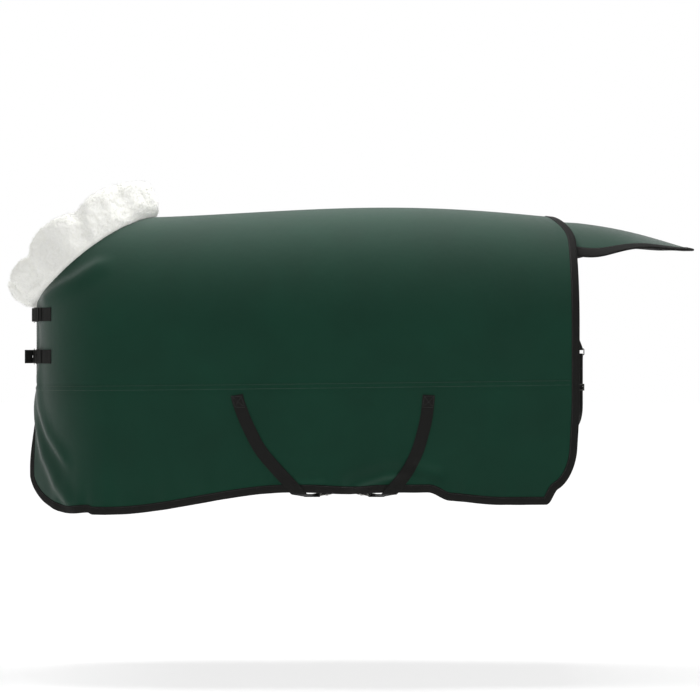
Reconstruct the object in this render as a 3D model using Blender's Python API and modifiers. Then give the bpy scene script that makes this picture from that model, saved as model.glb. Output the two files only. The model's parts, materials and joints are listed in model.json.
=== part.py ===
"""Turnout rug: a horse rug with fleece collar, chest buckles, crossed surcingles and tail flap.

Metres, +Z up.  +X runs from the withers to the tail, -Y is the horse's left side.
The origin is at the withers, on the rug's top line.
"""
import math

import bmesh
import bpy
import numpy as np
from mathutils import Matrix, Vector

# ---- Driving dimensions -------------------------------------------------------------------
BACK_LENGTH = 1.346       # withers to the rear edge, along the spine
REAR_FLARE = 0.058        # how far the rear edge of the sides runs behind the spine
CHEST_REACH = 0.395       # withers to the chest front
CHEST_BOW = 0.28          # length over which the front turns round the chest
CROWN_DROP = 0.37         # height of the rounded top
TOP_RISE = 0.032          # how far the back line rises over the withers
SHOULDER_HALF = 0.265     # half widths, from the shoulder to the rear edge
BARREL_HALF = 0.31
REAR_HALF = 0.275
NECK_DROP = 0.298         # withers down to the bottom of the neckline
SEAM_FRONT_DROP = 0.578   # withers down to the long side seam
SEAM_REAR_DROP = 0.555
HEM_FRONT_DROP = 0.98     # withers down to the hem
HEM_MID_DROP = 0.905
HEM_REAR_DROP = 0.947
FRONT_CORNER = (0.16, 0.13)   # length and height of the rounded front corner
REAR_CORNER = (0.13, 0.11)
OPEN_FRONT_HALF = 0.10    # half the opening between the front edges below the chest
OPEN_FRONT_TOP = 0.60     # withers down to where the front edges begin to part

PANEL_THICK = 0.005
GAP = 0.0004              # between sewn or seated pieces
MEET = 0.0001             # how much two joined blocks differ, so that no faces coincide
BIND_GAP = 0.0011         # inside a folded binding
EDGE_SPLIT = 0.003        # each front edge's distance from the centre line
BINDING_WIDTH = 0.022
BINDING_THICK = 0.0012
TAPE_WIDTH = 0.025
TAPE_THICK = 0.001

COLLAR_THICK = 0.044
COLLAR_HEIGHT = (0.100, 0.152, 0.118)     # at the chest, half-way and at the withers
COLLAR_LEAN = (57.0, 38.0, 17.0)          # degrees forward of upright, at the same places

FLAP_LENGTH = 0.465       # rear edge on the spine to the flap's tip
FLAP_HALF = 0.20
FLAP_FALL = 0.098         # how far its ridge drops to the tip
FLAP_THICK = 0.0035
FLAP_CLEAR = 0.0116       # flap ridge below the back panel's mid surface
FLAP_ROOT = 0.045         # how far the gusset reaches under the back panel
FLAP_SLANT = 0.105        # how much further back its sides start, so that it can drop
FLAP_CORNER = 0.07

CHEST_WEB = 0.045         # chest strap width
WEB = 0.040               # surcingle width
TAIL_WEB = 0.025          # tail strap width
WEB_THICK = 0.0024

UPPER_BUCKLE_DROP = 0.331
LOWER_BUCKLE_DROP = 0.471
BUCKLE_SIDE = 0.050       # buckle centre from the centre line, along the panel
BUCKLE_LENGTH = 0.026     # bar to bar
BUCKLE_WIRE = 0.002       # wire radius
ROLLER_RADIUS = 0.0035
TONGUE_WIRE = 0.0016
BUCKLE_LIFT = 0.0115      # frame centre above the panel's mid surface

STRAP_TOP_DROP = 0.594    # withers down to the surcingles' sewn ends
SURCINGLE_FRONT = (0.295, 0.324, 0.372, 0.437, 0.492)   # X at five heights, sewn end to hem
SURCINGLE_REAR = (0.918, 0.909, 0.883, 0.847, 0.796)
SURCINGLE_STEPS = (0.0, 0.081, 0.178, 0.252, 0.310)     # those heights below the sewn end
CROSS_DROP = 0.007        # one surcingle below the other where they cross

RING_DROP = 0.445         # withers down to the tail rings' top bars
RING_WIRE = 0.002
RING_HEIGHT = 0.020
TAIL_STRAP_DROP = 0.27    # top bars down to the lowest point of the tail strap

# ---- Values that follow ---------------------------------------------------------------------
BOW_LENGTH = 0.5 * math.pi * math.sqrt(0.5 * (CHEST_BOW ** 2 + SHOULDER_HALF ** 2))
CROWN_LENGTH = 0.5 * math.pi * math.sqrt(0.5 * (CROWN_DROP ** 2 + BARREL_HALF ** 2))
REAR_X = BACK_LENGTH + REAR_FLARE
SIDE_END = BOW_LENGTH + REAR_X + CHEST_REACH - CHEST_BOW
COVER = PANEL_THICK / 2 + GAP                    # panel's mid surface to what lies on it
BIND_OUT = PANEL_THICK / 2 + BIND_GAP + BINDING_THICK    # mid surface to the binding's face
LEFT, RIGHT = -1, 1
SIDES = (("left", LEFT), ("right", RIGHT))


# ---- Scene and materials ----------------------------------------------------------------------
def clear_scene():
    for item in list(bpy.data.objects):
        bpy.data.objects.remove(item, do_unlink=True)


def new_collection(name):
    made = bpy.data.collections.new(name)
    bpy.context.scene.collection.children.link(made)
    return made


def material(name, colour, roughness, metallic=0.0):
    made = bpy.data.materials.new(name)
    made.use_nodes = True
    shader = made.node_tree.nodes["Principled BSDF"]
    shader.inputs["Base Color"].default_value = (*colour, 1.0)
    shader.inputs["Roughness"].default_value = roughness
    shader.inputs["Metallic"].default_value = metallic
    return made


clear_scene()
RUG = new_collection("turnout_rug")
CUTTERS = new_collection("cutters")
SHELL = material("green_shell", (0.010, 0.042, 0.026), 0.62)
FLEECE = material("white_fleece", (0.86, 0.86, 0.82), 0.95)
WEBBING = material("black_webbing", (0.012, 0.012, 0.011), 0.70)
METAL = material("bright_metal", (0.55, 0.55, 0.53), 0.28, 1.0)
DARK_METAL = material("dark_metal", (0.05, 0.05, 0.05), 0.35, 1.0)


# ---- Modelling helpers --------------------------------------------------------------------------
def add_object(name, data, finish, collection=None):
    item = bpy.data.objects.new(name, data)
    if finish is not None:
        data.materials.append(finish)
    (collection or RUG).objects.link(item)
    return item


def thicken(item, thickness, even=False):
    solid = item.modifiers.new("thickness", "SOLIDIFY")
    solid.thickness = thickness
    solid.offset = 0.0
    solid.use_even_offset = even
    return item


def grid_mesh(name, points, closed=False):
    """A quad grid through an array of points; closed joins its last row to its first."""
    rows, cols = points.shape[:2]
    bm = bmesh.new()
    bmesh.ops.create_grid(bm, x_segments=rows - 1, y_segments=cols - 1, size=1.0)
    for vert in bm.verts:
        i = round((vert.co.x + 1) / 2 * (rows - 1))
        j = round((vert.co.y + 1) / 2 * (cols - 1))
        vert.co = points[i, j]
    if closed:
        bmesh.ops.remove_doubles(bm, verts=bm.verts, dist=1e-6)
    bmesh.ops.triangulate(bm, faces=bm.faces, quad_method="SHORT_EDGE")
    mesh = bpy.data.meshes.new(name)
    bm.to_mesh(mesh)
    bm.free()
    return mesh


def sheet(name, points, thickness, finish, closed=False, even=False):
    mesh = grid_mesh(name, np.asarray(points), closed)
    return thicken(add_object(name, mesh, finish), thickness, even)


def solid_loft(name, rings, finish):
    """A closed body through rings of points, with a flat cap at both ends."""
    bm = bmesh.new()
    loops = [[bm.verts.new(p) for p in ring] for ring in rings]
    count = len(loops[0])
    for low, high in zip(loops, loops[1:]):
        for k in range(count):
            bm.faces.new((low[k], low[(k + 1) % count], high[(k + 1) % count], high[k]))
    bm.faces.new(loops[0])
    bm.faces.new(loops[-1])
    bmesh.ops.recalc_face_normals(bm, faces=bm.faces)
    mesh = bpy.data.meshes.new(name)
    bm.to_mesh(mesh)
    bm.free()
    return add_object(name, mesh, finish)


def unit(vector):
    return vector / np.linalg.norm(vector)


def wire(name, points, radius, finish, closed=False, resolution=1):
    curve = bpy.data.curves.new(name, "CURVE")
    curve.dimensions = "3D"
    curve.bevel_depth = radius
    curve.bevel_resolution = resolution
    curve.use_fill_caps = True
    spline = curve.splines.new("POLY")
    spline.points.add(len(points) - 1)
    for point, place in zip(spline.points, points):
        point.co = (*place, 1.0)
    spline.use_cyclic_u = closed
    return add_object(name, curve, finish)


def box_mesh(name, size):
    bm = bmesh.new()
    bmesh.ops.create_cube(bm, size=1.0)
    bmesh.ops.scale(bm, vec=size, verts=bm.verts)
    mesh = bpy.data.meshes.new(name)
    bm.to_mesh(mesh)
    bm.free()
    return mesh


def helper(item):
    item.hide_render = True
    item.display_type = "WIRE"
    return item


def box_cutter(name, size, frame):
    item = helper(add_object(name, box_mesh(name, size), None, CUTTERS))
    item.matrix_world = frame
    return item


def round_cutter(name, radius, depth, frame):
    bm = bmesh.new()
    bmesh.ops.create_cone(bm, cap_ends=True, segments=12, radius1=radius, radius2=radius,
                          depth=depth)
    mesh = bpy.data.meshes.new(name)
    bm.to_mesh(mesh)
    bm.free()
    item = helper(add_object(name, mesh, None, CUTTERS))
    item.matrix_world = frame
    return item


def boolean(item, other, operation):
    step = item.modifiers.new(other.name, "BOOLEAN")
    step.operation = operation
    step.object = other
    return item


def axes_frame(origin, x_axis, y_axis, z_axis):
    frame = Matrix.Identity(4)
    for col, axis in enumerate((x_axis, y_axis, z_axis)):
        for row in range(3):
            frame[row][col] = float(axis[row])
    frame.translation = Vector([float(v) for v in origin])
    return frame


def set_pivot(item, place):
    """Puts an object's origin on its joint, without moving the piece."""
    place = Vector([float(v) for v in place])
    item.data.transform(Matrix.Translation(-place))
    item.location = place
    return item


def arc(centre, radius, start, end, steps):
    """Points (s, h) on an arc, angles in degrees from +s towards +h."""
    turns = np.radians(np.linspace(start, end, steps))
    return [(centre[0] + radius * math.cos(a), centre[1] + radius * math.sin(a)) for a in turns]


# ---- The rug's surface ------------------------------------------------------------------------
def smooth(t):
    t = min(max(t, 0.0), 1.0)
    return t * t * (3 - 2 * t)


def half_width(x):
    """Half the rug's width at a place along the back."""
    if x < 0.45:
        return SHOULDER_HALF + (BARREL_HALF - SHOULDER_HALF) * smooth((x + CHEST_REACH) / 0.85)
    return BARREL_HALF + (REAR_HALF - BARREL_HALF) * smooth((x - 0.75) / (REAR_X - 0.75))


def top_line(x):
    share = min(max(x / BACK_LENGTH, 0.0), 1.0)
    return TOP_RISE * math.sin(math.pi * share ** 1.3)


def parting(drop):
    """0 where the front closes round the chest, 1 where its edges hang apart."""
    return smooth((drop - OPEN_FRONT_TOP) / 0.25)


def surface(side, along, down):
    """A point of the panels' mid surface, from lengths along the side and down from the top."""
    if down < CROWN_LENGTH:
        turn = 0.5 * math.pi * down / CROWN_LENGTH
        drop = CROWN_DROP * (1 - math.cos(turn))
        round_share = math.sin(turn)
    else:
        drop = CROWN_DROP + down - CROWN_LENGTH
        round_share = 1.0
    bow_turn = 0.5 * math.pi * min(max(along / BOW_LENGTH, -1.0), 1.0)
    part = parting(drop)
    bow = (1 - part) * (1 - math.cos(bow_turn)) + part * 2 * bow_turn / math.pi
    x = -CHEST_REACH - 0.01 * part + CHEST_BOW * bow + max(0.0, along - BOW_LENGTH)
    spread = math.sin(bow_turn) * half_width(x)
    spread += OPEN_FRONT_HALF * part * (1 - abs(math.sin(bow_turn)))
    z = top_line(x) * max(0.0, 1 - drop / CROWN_DROP) - drop
    return np.array((x, side * spread * round_share, z))


def down_of(drop):
    """Length down the panel at which it has dropped so far."""
    if drop < CROWN_DROP:
        return CROWN_LENGTH * math.acos(1 - drop / CROWN_DROP) / (0.5 * math.pi)
    return CROWN_LENGTH + drop - CROWN_DROP


def surface_normal(side, along, down):
    step = 0.002
    forward = surface(side, along + step, down) - surface(side, along - step, down)
    below = surface(side, along, down + step) - surface(side, along, down - step)
    return unit(np.cross(forward, below) * side)


def on_panel(side, along, drop, lift=0.0):
    """A point at a height over the panel, and the outward normal there."""
    down = down_of(drop)
    normal = surface_normal(side, along, down)
    return surface(side, along, down) + normal * lift, normal


def seam_drop(along):
    return SEAM_FRONT_DROP + (SEAM_REAR_DROP - SEAM_FRONT_DROP) * along / SIDE_END


def hem_drop(along):
    """Depth of the hem, with both corners rounded."""
    x = along - BOW_LENGTH - CHEST_REACH + CHEST_BOW
    drop = HEM_FRONT_DROP + (HEM_MID_DROP - HEM_FRONT_DROP) * smooth((x + 0.12) / 0.60)
    drop += (HEM_REAR_DROP - HEM_MID_DROP) * smooth((x - 0.82) / 0.30)
    front = CHEST_BOW * along / BOW_LENGTH
    rear = SIDE_END - along
    for place, (length, height) in ((front, FRONT_CORNER), (rear, REAR_CORNER)):
        inner = min(max((length - place) / length, 0.0), 1.0)
        drop -= height * (1 - math.sqrt(1 - inner ** 2))
    return drop


def column_places():
    """Lengths along the side at which both panels have a column of faces."""
    bow = np.linspace(EDGE_SPLIT + BINDING_WIDTH, BOW_LENGTH, 11)
    rear_turns = np.radians(np.linspace(90, 0, 5))
    rear = SIDE_END - REAR_CORNER[0] * (1 - np.cos(rear_turns))
    straight = np.linspace(BOW_LENGTH, rear[0], 11)[1:-1]
    return np.concatenate(([EDGE_SPLIT], bow, straight, rear))


COLUMNS = column_places()
CHEST_ROWS, CROWN_ROWS, LOWER_ROWS = 3, 7, 8


def neckline(share):
    """Along and down lengths on the neckline, from its bottom (0) to the withers (1)."""
    along = EDGE_SPLIT + (BOW_LENGTH + CHEST_REACH - CHEST_BOW - EDGE_SPLIT) * share
    x = surface(LEFT, along, CROWN_LENGTH)[0]
    forward = min(max(-x / CHEST_REACH, 0.0), 1.0)
    return along, down_of(NECK_DROP * forward ** 1.35)


def rear_along(down):
    """The rear edge: nearer the withers on the spine than on the sides."""
    turn = 90.0 * min(down / CROWN_LENGTH, 1.0)
    return SIDE_END - REAR_FLARE * (1 - smooth(turn / 42.0))


def back_row(row):
    """Front and rear ends of one of the back panel's rows, seam to spine."""
    rows = CHEST_ROWS + CROWN_ROWS
    rear_down = down_of(SEAM_REAR_DROP) * (1 - row / rows)
    if row <= CHEST_ROWS:
        drop = SEAM_FRONT_DROP + (NECK_DROP - SEAM_FRONT_DROP) * row / CHEST_ROWS
        front = (EDGE_SPLIT, down_of(drop))
    else:
        front = neckline((row - CHEST_ROWS) / CROWN_ROWS)
    return front, (rear_along(rear_down), rear_down)


def back_half(side):
    """Grid of the back panel from its seam to the spine: columns by rows."""
    shares = (COLUMNS - COLUMNS[0]) / (COLUMNS[-1] - COLUMNS[0])
    grid = np.empty((len(COLUMNS), CHEST_ROWS + CROWN_ROWS + 1, 3))
    for j in range(grid.shape[1]):
        front, rear = back_row(j)
        for i, share in enumerate(shares):
            along = front[0] + (rear[0] - front[0]) * share
            down = front[1] + (rear[1] - front[1]) * share
            if j == 0:
                down = down_of(seam_drop(along) - GAP / 2)
            grid[i, j] = surface(side, along, down)
    return grid


def lower_grid(side):
    """Grid of a lower panel from its seam to the hem: columns by rows."""
    grid = np.empty((len(COLUMNS), LOWER_ROWS + 1, 3))
    for i, along in enumerate(COLUMNS):
        top = seam_drop(along) + GAP / 2
        bottom = hem_drop(along)
        for j in range(LOWER_ROWS + 1):
            drop = top + (bottom - top) * j / LOWER_ROWS
            grid[i, j] = surface(side, along, down_of(drop))
    return grid


def make_panels():
    left = back_half(LEFT)
    right = back_half(RIGHT)
    whole = np.concatenate((left, right[:, -2::-1]), axis=1)
    sheet("back_panel", whole, PANEL_THICK, SHELL)
    for name, side in SIDES:
        sheet(f"{name}_lower_panel", lower_grid(side), PANEL_THICK, SHELL)


def make_seam_tapes():
    lift = -(COVER + TAPE_THICK / 2)
    ends = (EDGE_SPLIT + BINDING_WIDTH + 0.002, SIDE_END - BINDING_WIDTH - 0.002)
    inside = [a for a in COLUMNS if ends[0] < a < ends[1]]
    for name, side in SIDES:
        rows = []
        for along in (ends[0], *inside, ends[1]):
            drop = seam_drop(along)
            rows.append([on_panel(side, along, drop + d, lift)[0]
                         for d in (-TAPE_WIDTH / 2, 0.0, TAPE_WIDTH / 2)])
        sheet(f"{name}_seam_tape", rows, TAPE_THICK, WEBBING)


# ---- Edge binding -------------------------------------------------------------------------------
def border_point(side, along, down, inward_along, inward_down):
    """Edge point, the point a binding's width inside it, and the normal."""
    edge = surface(side, along, down)
    inner = surface(side, along + inward_along * BINDING_WIDTH, down + inward_down * BINDING_WIDTH)
    return edge, inner, surface_normal(side, along, down)


def hem_border(side):
    frames = []
    for i in range(len(COLUMNS)):
        before, after = COLUMNS[max(i - 1, 0)], COLUMNS[min(i + 1, len(COLUMNS) - 1)]
        slope = np.array((after - before, hem_drop(after) - hem_drop(before)))
        inward = np.array((slope[1], -slope[0])) / np.linalg.norm(slope)
        frames.append(border_point(side, COLUMNS[i], down_of(hem_drop(COLUMNS[i])), *inward))
    return frames


def side_border(side):
    """Border frames of one side, from the neckline down the front and round to the spine."""
    frames = []
    for row in range(CHEST_ROWS, -1, -1):
        front, _ = back_row(row)
        frames.append(border_point(side, front[0], front[1], 1, 0))
    for row in range(1, LOWER_ROWS):
        drop = np.interp(row, (0, LOWER_ROWS), (SEAM_FRONT_DROP, hem_drop(EDGE_SPLIT)))
        frames.append(border_point(side, EDGE_SPLIT, down_of(drop), 1, 0))
    frames += hem_border(side)
    for row in range(LOWER_ROWS - 1, 0, -1):
        drop = np.interp(row, (0, LOWER_ROWS), (SEAM_REAR_DROP, hem_drop(SIDE_END)))
        frames.append(border_point(side, SIDE_END, down_of(drop), -1, 0))
    for row in range(CHEST_ROWS + CROWN_ROWS + 1):
        _, rear = back_row(row)
        frames.append(border_point(side, rear[0], rear[1], -1, 0))
    return frames


def bind(name, frames, thickness):
    """A binding folded over an edge: outer leg, fold and inner leg."""
    lift = thickness / 2 + BIND_GAP + BINDING_THICK / 2
    reach = BIND_GAP + BINDING_THICK / 2
    rows = []
    for edge, inner, normal in frames:
        fold = edge + unit(edge - inner) * reach
        rows.append((inner + normal * lift, fold + normal * lift,
                     fold - normal * lift, inner - normal * lift))
    return sheet(name, rows, BINDING_THICK, WEBBING, even=True)


def make_edge_binding():
    frames = side_border(LEFT)
    for edge, inner, normal in reversed(side_border(RIGHT)[:-1]):
        frames.append((edge, inner, normal))
    bind("edge_binding", frames, PANEL_THICK)


# ---- Neck collar ------------------------------------------------------------------------------
def blend_three(values, share):
    return float(np.interp(share, (0.0, 0.5, 1.0), values))


def collar_station(side, share):
    along, down = neckline(share)
    seat = surface(side, along, down)
    seat[1] = side * max(abs(seat[1]), EDGE_SPLIT) if share < 1 else 0.0
    lean = math.radians(blend_three(COLLAR_LEAN, share))
    inward = 0.32 * math.sin(math.pi * share)
    rise = unit(np.array((-math.sin(lean), -side * inward, math.cos(lean))))
    return seat, rise, blend_three(COLLAR_HEIGHT, share)


def make_collar():
    shares = np.linspace(0.0, 1.0, 11)
    stations = [collar_station(LEFT, s) for s in shares]
    stations += [collar_station(RIGHT, s) for s in shares[-2::-1]]
    rings = []
    for k, (seat, rise, height) in enumerate(stations):
        ahead = stations[min(k + 1, len(stations) - 1)][0] - stations[max(k - 1, 0)][0]
        if k in (0, len(stations) - 1):
            ahead = np.array((0.0, 1.0 if k else -1.0, 0.0)) * (1 if k == 0 else -1)
        outward = unit(np.cross(ahead, rise))
        seated = GAP + PANEL_THICK / 2
        middle = seat + rise * (height / 2 + seated)
        ring = []
        for turn in np.linspace(0, 2 * math.pi, 13)[:-1]:
            ring.append(middle - rise * math.cos(turn) * height / 2
                        + outward * math.sin(turn) * COLLAR_THICK / 2)
        rings.append(ring)
    solid_loft("neck_collar", rings, FLEECE)


# ---- Tail flap --------------------------------------------------------------------------------
FLAP_TIP = BACK_LENGTH + FLAP_LENGTH


def flap_ridge(x):
    share = (x - BACK_LENGTH) / FLAP_LENGTH
    fall = FLAP_FALL * (0.72 * share + 0.28 * share * abs(share))
    return top_line(min(x, BACK_LENGTH)) - FLAP_CLEAR - max(fall, -0.001)


def flap_point(x, share):
    """A point of the flap: share runs from -1 at the left edge to 1 at the right."""
    y = share * FLAP_HALF
    arch = 1 - smooth((x - BACK_LENGTH) / (FLAP_LENGTH * 1.05)) ** 0.9
    drop = arch * CROWN_DROP * (1 - math.sqrt(1 - (y / REAR_HALF) ** 2))
    return np.array((x, y, flap_ridge(x) - drop))


def flap_start(share):
    return BACK_LENGTH + 0.012 + FLAP_SLANT * abs(share) ** 1.5


def flap_end(share):
    return FLAP_TIP - FLAP_CORNER * (1 - math.sqrt(1 - abs(share) ** 4))


HALF_SHARES = (0.22, 0.45, 0.65, 0.8, 1 - BINDING_WIDTH / FLAP_HALF, 0.96, 1.0)
FLAP_SHARES = [-s for s in reversed(HALF_SHARES)] + [0.0] + list(HALF_SHARES)
FLAP_STEPS = 8


def flap_normal(x, share):
    step = 0.003
    lengthwise = flap_point(x + step, share) - flap_point(x - step, share)
    crosswise = flap_point(x, share + step) - flap_point(x, share - step)
    return unit(np.cross(lengthwise, crosswise))


def make_flap():
    grid = [[flap_point(x, s) for x in np.linspace(flap_start(s), flap_end(s), FLAP_STEPS)]
            for s in FLAP_SHARES]
    flap = sheet("tail_flap", grid, FLAP_THICK, SHELL)
    set_pivot(flap, flap_pivot())
    gusset = [[flap_point(x, s) for x in np.linspace(BACK_LENGTH - FLAP_ROOT,
                                                     flap_start(s) - GAP * 2, 4)]
              for s in FLAP_SHARES]
    sheet("tail_flap_gusset", gusset, FLAP_THICK, SHELL)


def flap_pivot():
    x = BACK_LENGTH + 0.012
    return (x, 0.0, flap_ridge(x))


def flap_frame(x, share, inward_x, inward_share):
    inner = flap_point(x + inward_x * BINDING_WIDTH,
                       share + inward_share * BINDING_WIDTH / FLAP_HALF)
    return flap_point(x, share), inner, flap_normal(x, share)


def make_flap_binding():
    edge = np.linspace(flap_start(1.0) + 0.004, flap_end(1.0), FLAP_STEPS)
    frames = [flap_frame(x, -1.0, 0, 1) for x in edge[:-1]]
    for share in FLAP_SHARES:
        frames.append(flap_frame(flap_end(share), share, -math.sqrt(1 - share ** 2), -share))
    frames += [flap_frame(x, 1.0, 0, -1) for x in edge[-2::-1]]
    set_pivot(bind("tail_flap_binding", frames, FLAP_THICK), flap_pivot())


# ---- Chest closures ---------------------------------------------------------------------------
HALF_BUCKLE = BUCKLE_LENGTH / 2
TAB_WRAP = BUCKLE_WIRE + GAP + WEB_THICK / 2
PRONG_WRAP = BUCKLE_WIRE + GAP + TONGUE_WIRE
LAYER = WEB_THICK + GAP
KEEPER_RUN = (0.115, 0.1085, 0.1025, 0.0965, 0.09)     # from the centre line, along the panel


class BuckleFrame:
    """Local places at a buckle: s along the strap, v up and h out of the chest."""

    def __init__(self, drop):
        self.drop = drop
        self.origin, self.out = on_panel(LEFT, BUCKLE_SIDE, drop)
        self.up = np.array((0.0, 0.0, 1.0))
        self.out = unit(self.out * np.array((1.0, 1.0, 0.0)))
        self.along = np.cross(self.up, self.out)

    def place(self, s, v, h):
        return self.origin + self.along * s + self.up * v + self.out * h

    def frame(self, s, v, h):
        return axes_frame(self.place(s, v, h), self.along, self.up, self.out)

    def on_chest(self, along, lift):
        side = LEFT if along >= 0 else RIGHT
        point, normal = on_panel(side, abs(along), self.drop, lift)
        point[2] = -self.drop
        return point, unit(normal * np.array((1.0, 1.0, 0.0)))


def closure_strap(name, buckle, steps):
    """A chest strap through steps: ('chest', along, lift) or ('local', s, h)."""
    centres = []
    for kind, place, lift in steps:
        if kind == "chest":
            centres.append(buckle.on_chest(place, lift)[0])
        else:
            centres.append(buckle.place(place, 0.0, lift))
    rows = [(c - buckle.up * CHEST_WEB / 2, c + buckle.up * CHEST_WEB / 2) for c in centres]
    return sheet(name, rows, WEB_THICK, WEBBING, even=True)


def tab_steps():
    low = COVER + WEB_THICK / 2 + 0.0004
    raised = low + 0.0018
    wrap = arc((HALF_BUCKLE, BUCKLE_LIFT), TAB_WRAP, 270, 90, 9)
    steps = [("chest", a, low) for a in (0.205, 0.18, 0.16)]
    steps += [("chest", 0.135, low + 0.0006)] + [("chest", a, raised) for a in KEEPER_RUN]
    steps += [("local", HALF_BUCKLE + 0.012, BUCKLE_LIFT - TAB_WRAP - 0.0009)]
    steps += [("local", s, h) for s, h in wrap]
    steps += [("local", HALF_BUCKLE + 0.007, BUCKLE_LIFT + TAB_WRAP - 0.0007)]
    steps += [("chest", 0.078, raised + LAYER + 0.0023)]
    steps += [("chest", a, raised + LAYER) for a in reversed(KEEPER_RUN)]
    steps += [("chest", 0.145, low + 0.0006 + LAYER)]
    return steps


def billet_start():
    low = COVER + WEB_THICK / 2 + 0.0004
    over_edge = BIND_OUT + GAP + WEB_THICK / 2
    under_roller = BUCKLE_LIFT - ROLLER_RADIUS - GAP - WEB_THICK / 2
    steps = [("chest", a, low) for a in (-0.15, -0.12, -0.09, -0.06)]
    steps += [("chest", -0.035, over_edge), ("chest", -0.015, over_edge + 0.0004)]
    steps += [("chest", 0.004, over_edge + 0.0006), ("chest", 0.02, over_edge + 0.0006)]
    steps += [("local", -HALF_BUCKLE - 0.006, under_roller), ("local", -HALF_BUCKLE, under_roller)]
    return steps


def heel_height():
    return BUCKLE_LIFT + PRONG_WRAP + TONGUE_WIRE + GAP + WEB_THICK / 2


def upper_billet_steps():
    top = COVER + WEB_THICK / 2 + 0.0022 + 2 * LAYER
    rise = heel_height()
    return billet_start() + [("local", -HALF_BUCKLE + 0.005, BUCKLE_LIFT - 0.003),
                             ("local", 0.0, BUCKLE_LIFT + 0.0005),
                             ("local", HALF_BUCKLE - 0.004, rise), ("local", HALF_BUCKLE + 0.003, rise),
                             ("chest", 0.078, top + 0.0042),
                             *[("chest", a, top) for a in reversed(KEEPER_RUN)],
                             ("chest", 0.13, top)]


def lower_billet_steps():
    rise = heel_height()
    return billet_start() + [("local", -HALF_BUCKLE + 0.005, BUCKLE_LIFT - 0.003),
                             ("local", 0.0, BUCKLE_LIFT + 0.0005),
                             ("local", HALF_BUCKLE - 0.004, rise), ("local", HALF_BUCKLE + 0.002, rise),
                             ("local", HALF_BUCKLE + 0.009, rise + 0.005),
                             ("local", HALF_BUCKLE + 0.018, rise + 0.014),
                             ("local", HALF_BUCKLE + 0.025, rise + 0.024)]


def make_buckle(name, buckle, billet):
    side = CHEST_WEB / 2 + 0.001 + BUCKLE_WIRE
    corner = 0.004
    ring = []
    for cs, cv, start in ((1, 1, 0), (-1, 1, 90), (-1, -1, 180), (1, -1, 270)):
        centre = (cs * (HALF_BUCKLE - corner), cv * (side - corner))
        ring += arc(centre, corner, start, start + 90, 4)
    wire(f"{name}_buckle_frame", [buckle.place(s, v, BUCKLE_LIFT) for s, v in ring],
         BUCKLE_WIRE, METAL, closed=True)
    make_roller(name, buckle)
    make_tongue(name, buckle)
    slot = box_cutter(f"{name}_prong_slot", (0.015, 0.0055, 0.03), buckle.frame(0.0075, 0, 0.016))
    boolean(billet, slot, "DIFFERENCE")
    for index, s in enumerate((-0.035, -0.060)):
        centre, normal = buckle.on_chest(BUCKLE_SIDE + s, 0.0)
        hole = round_cutter(f"{name}_hole_{index}", 0.0025, 0.03,
                            axes_frame(centre, np.cross(buckle.up, normal), buckle.up, normal))
        boolean(billet, hole, "DIFFERENCE")


def make_roller(name, buckle):
    half = CHEST_WEB / 2 - 0.0005
    inner = BUCKLE_WIRE + GAP
    bm = bmesh.new()
    profile = [(ROLLER_RADIUS, half), (ROLLER_RADIUS, -half), (inner, -half), (inner, half)]
    verts = [bm.verts.new((x, 0.0, z)) for x, z in profile]
    for k in range(4):
        bm.edges.new((verts[k], verts[(k + 1) % 4]))
    mesh = bpy.data.meshes.new(f"{name}_roller")
    bm.to_mesh(mesh)
    bm.free()
    roller = add_object(f"{name}_buckle_roller", mesh, METAL)
    screw = roller.modifiers.new("turn", "SCREW")
    screw.steps = 16
    screw.render_steps = 16
    screw.use_merge_vertices = True
    screw.merge_threshold = 1e-5
    roller.matrix_world = axes_frame(buckle.place(-HALF_BUCKLE, 0, BUCKLE_LIFT),
                                     buckle.along, np.cross(buckle.up, buckle.along), buckle.up)


def make_tongue(name, buckle):
    bar = (HALF_BUCKLE, BUCKLE_LIFT)
    tip_height = BUCKLE_LIFT + ROLLER_RADIUS + GAP + TONGUE_WIRE
    path = arc(bar, PRONG_WRAP, -140, 90, 10)
    path += [(0.0, tip_height), (-HALF_BUCKLE - 0.004, tip_height)]
    tongue = wire(f"{name}_buckle_tongue", [buckle.place(s, 0, h) for s, h in path],
                  TONGUE_WIRE, METAL)
    set_pivot(tongue, buckle.place(bar[0], 0, bar[1]))


def make_keeper(name, buckle, layers):
    """A webbing loop round the tab and what lies on it."""
    low = COVER + WEB_THICK / 2 + 0.0022
    wall = 0.0012
    bottom = low - WEB_THICK / 2 - GAP / 2 - wall / 2
    top = low + (layers - 1) * LAYER + WEB_THICK / 2 + GAP + wall / 2
    half = CHEST_WEB / 2 + GAP + wall / 2
    centre, out = buckle.on_chest(0.1025, 0.0)
    forward = np.cross(buckle.up, out)
    loop = [(-half, bottom), (half, bottom), (half, top), (-half, top), (-half, bottom)]
    rows = []
    for v, h in loop:
        middle = centre + buckle.up * v + out * h
        rows.append((middle - forward * 0.007, middle + forward * 0.007))
    sheet(f"{name}_chest_keeper", rows, wall, WEBBING, closed=True, even=True)


def make_closures():
    for name, drop, steps, layers in (("upper", UPPER_BUCKLE_DROP, upper_billet_steps(), 3),
                                      ("lower", LOWER_BUCKLE_DROP, lower_billet_steps(), 2)):
        buckle = BuckleFrame(drop)
        tab = closure_strap(f"{name}_chest_tab", buckle, tab_steps())
        fold = box_cutter(f"{name}_tab_slot", (0.014, 0.0075, 0.014),
                          buckle.frame(HALF_BUCKLE - 0.001, 0, BUCKLE_LIFT + 0.001))
        boolean(tab, fold, "DIFFERENCE")
        billet = closure_strap(f"{name}_chest_billet", buckle, steps)
        make_buckle(name, buckle, billet)
        make_keeper(name, buckle, layers)


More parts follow.
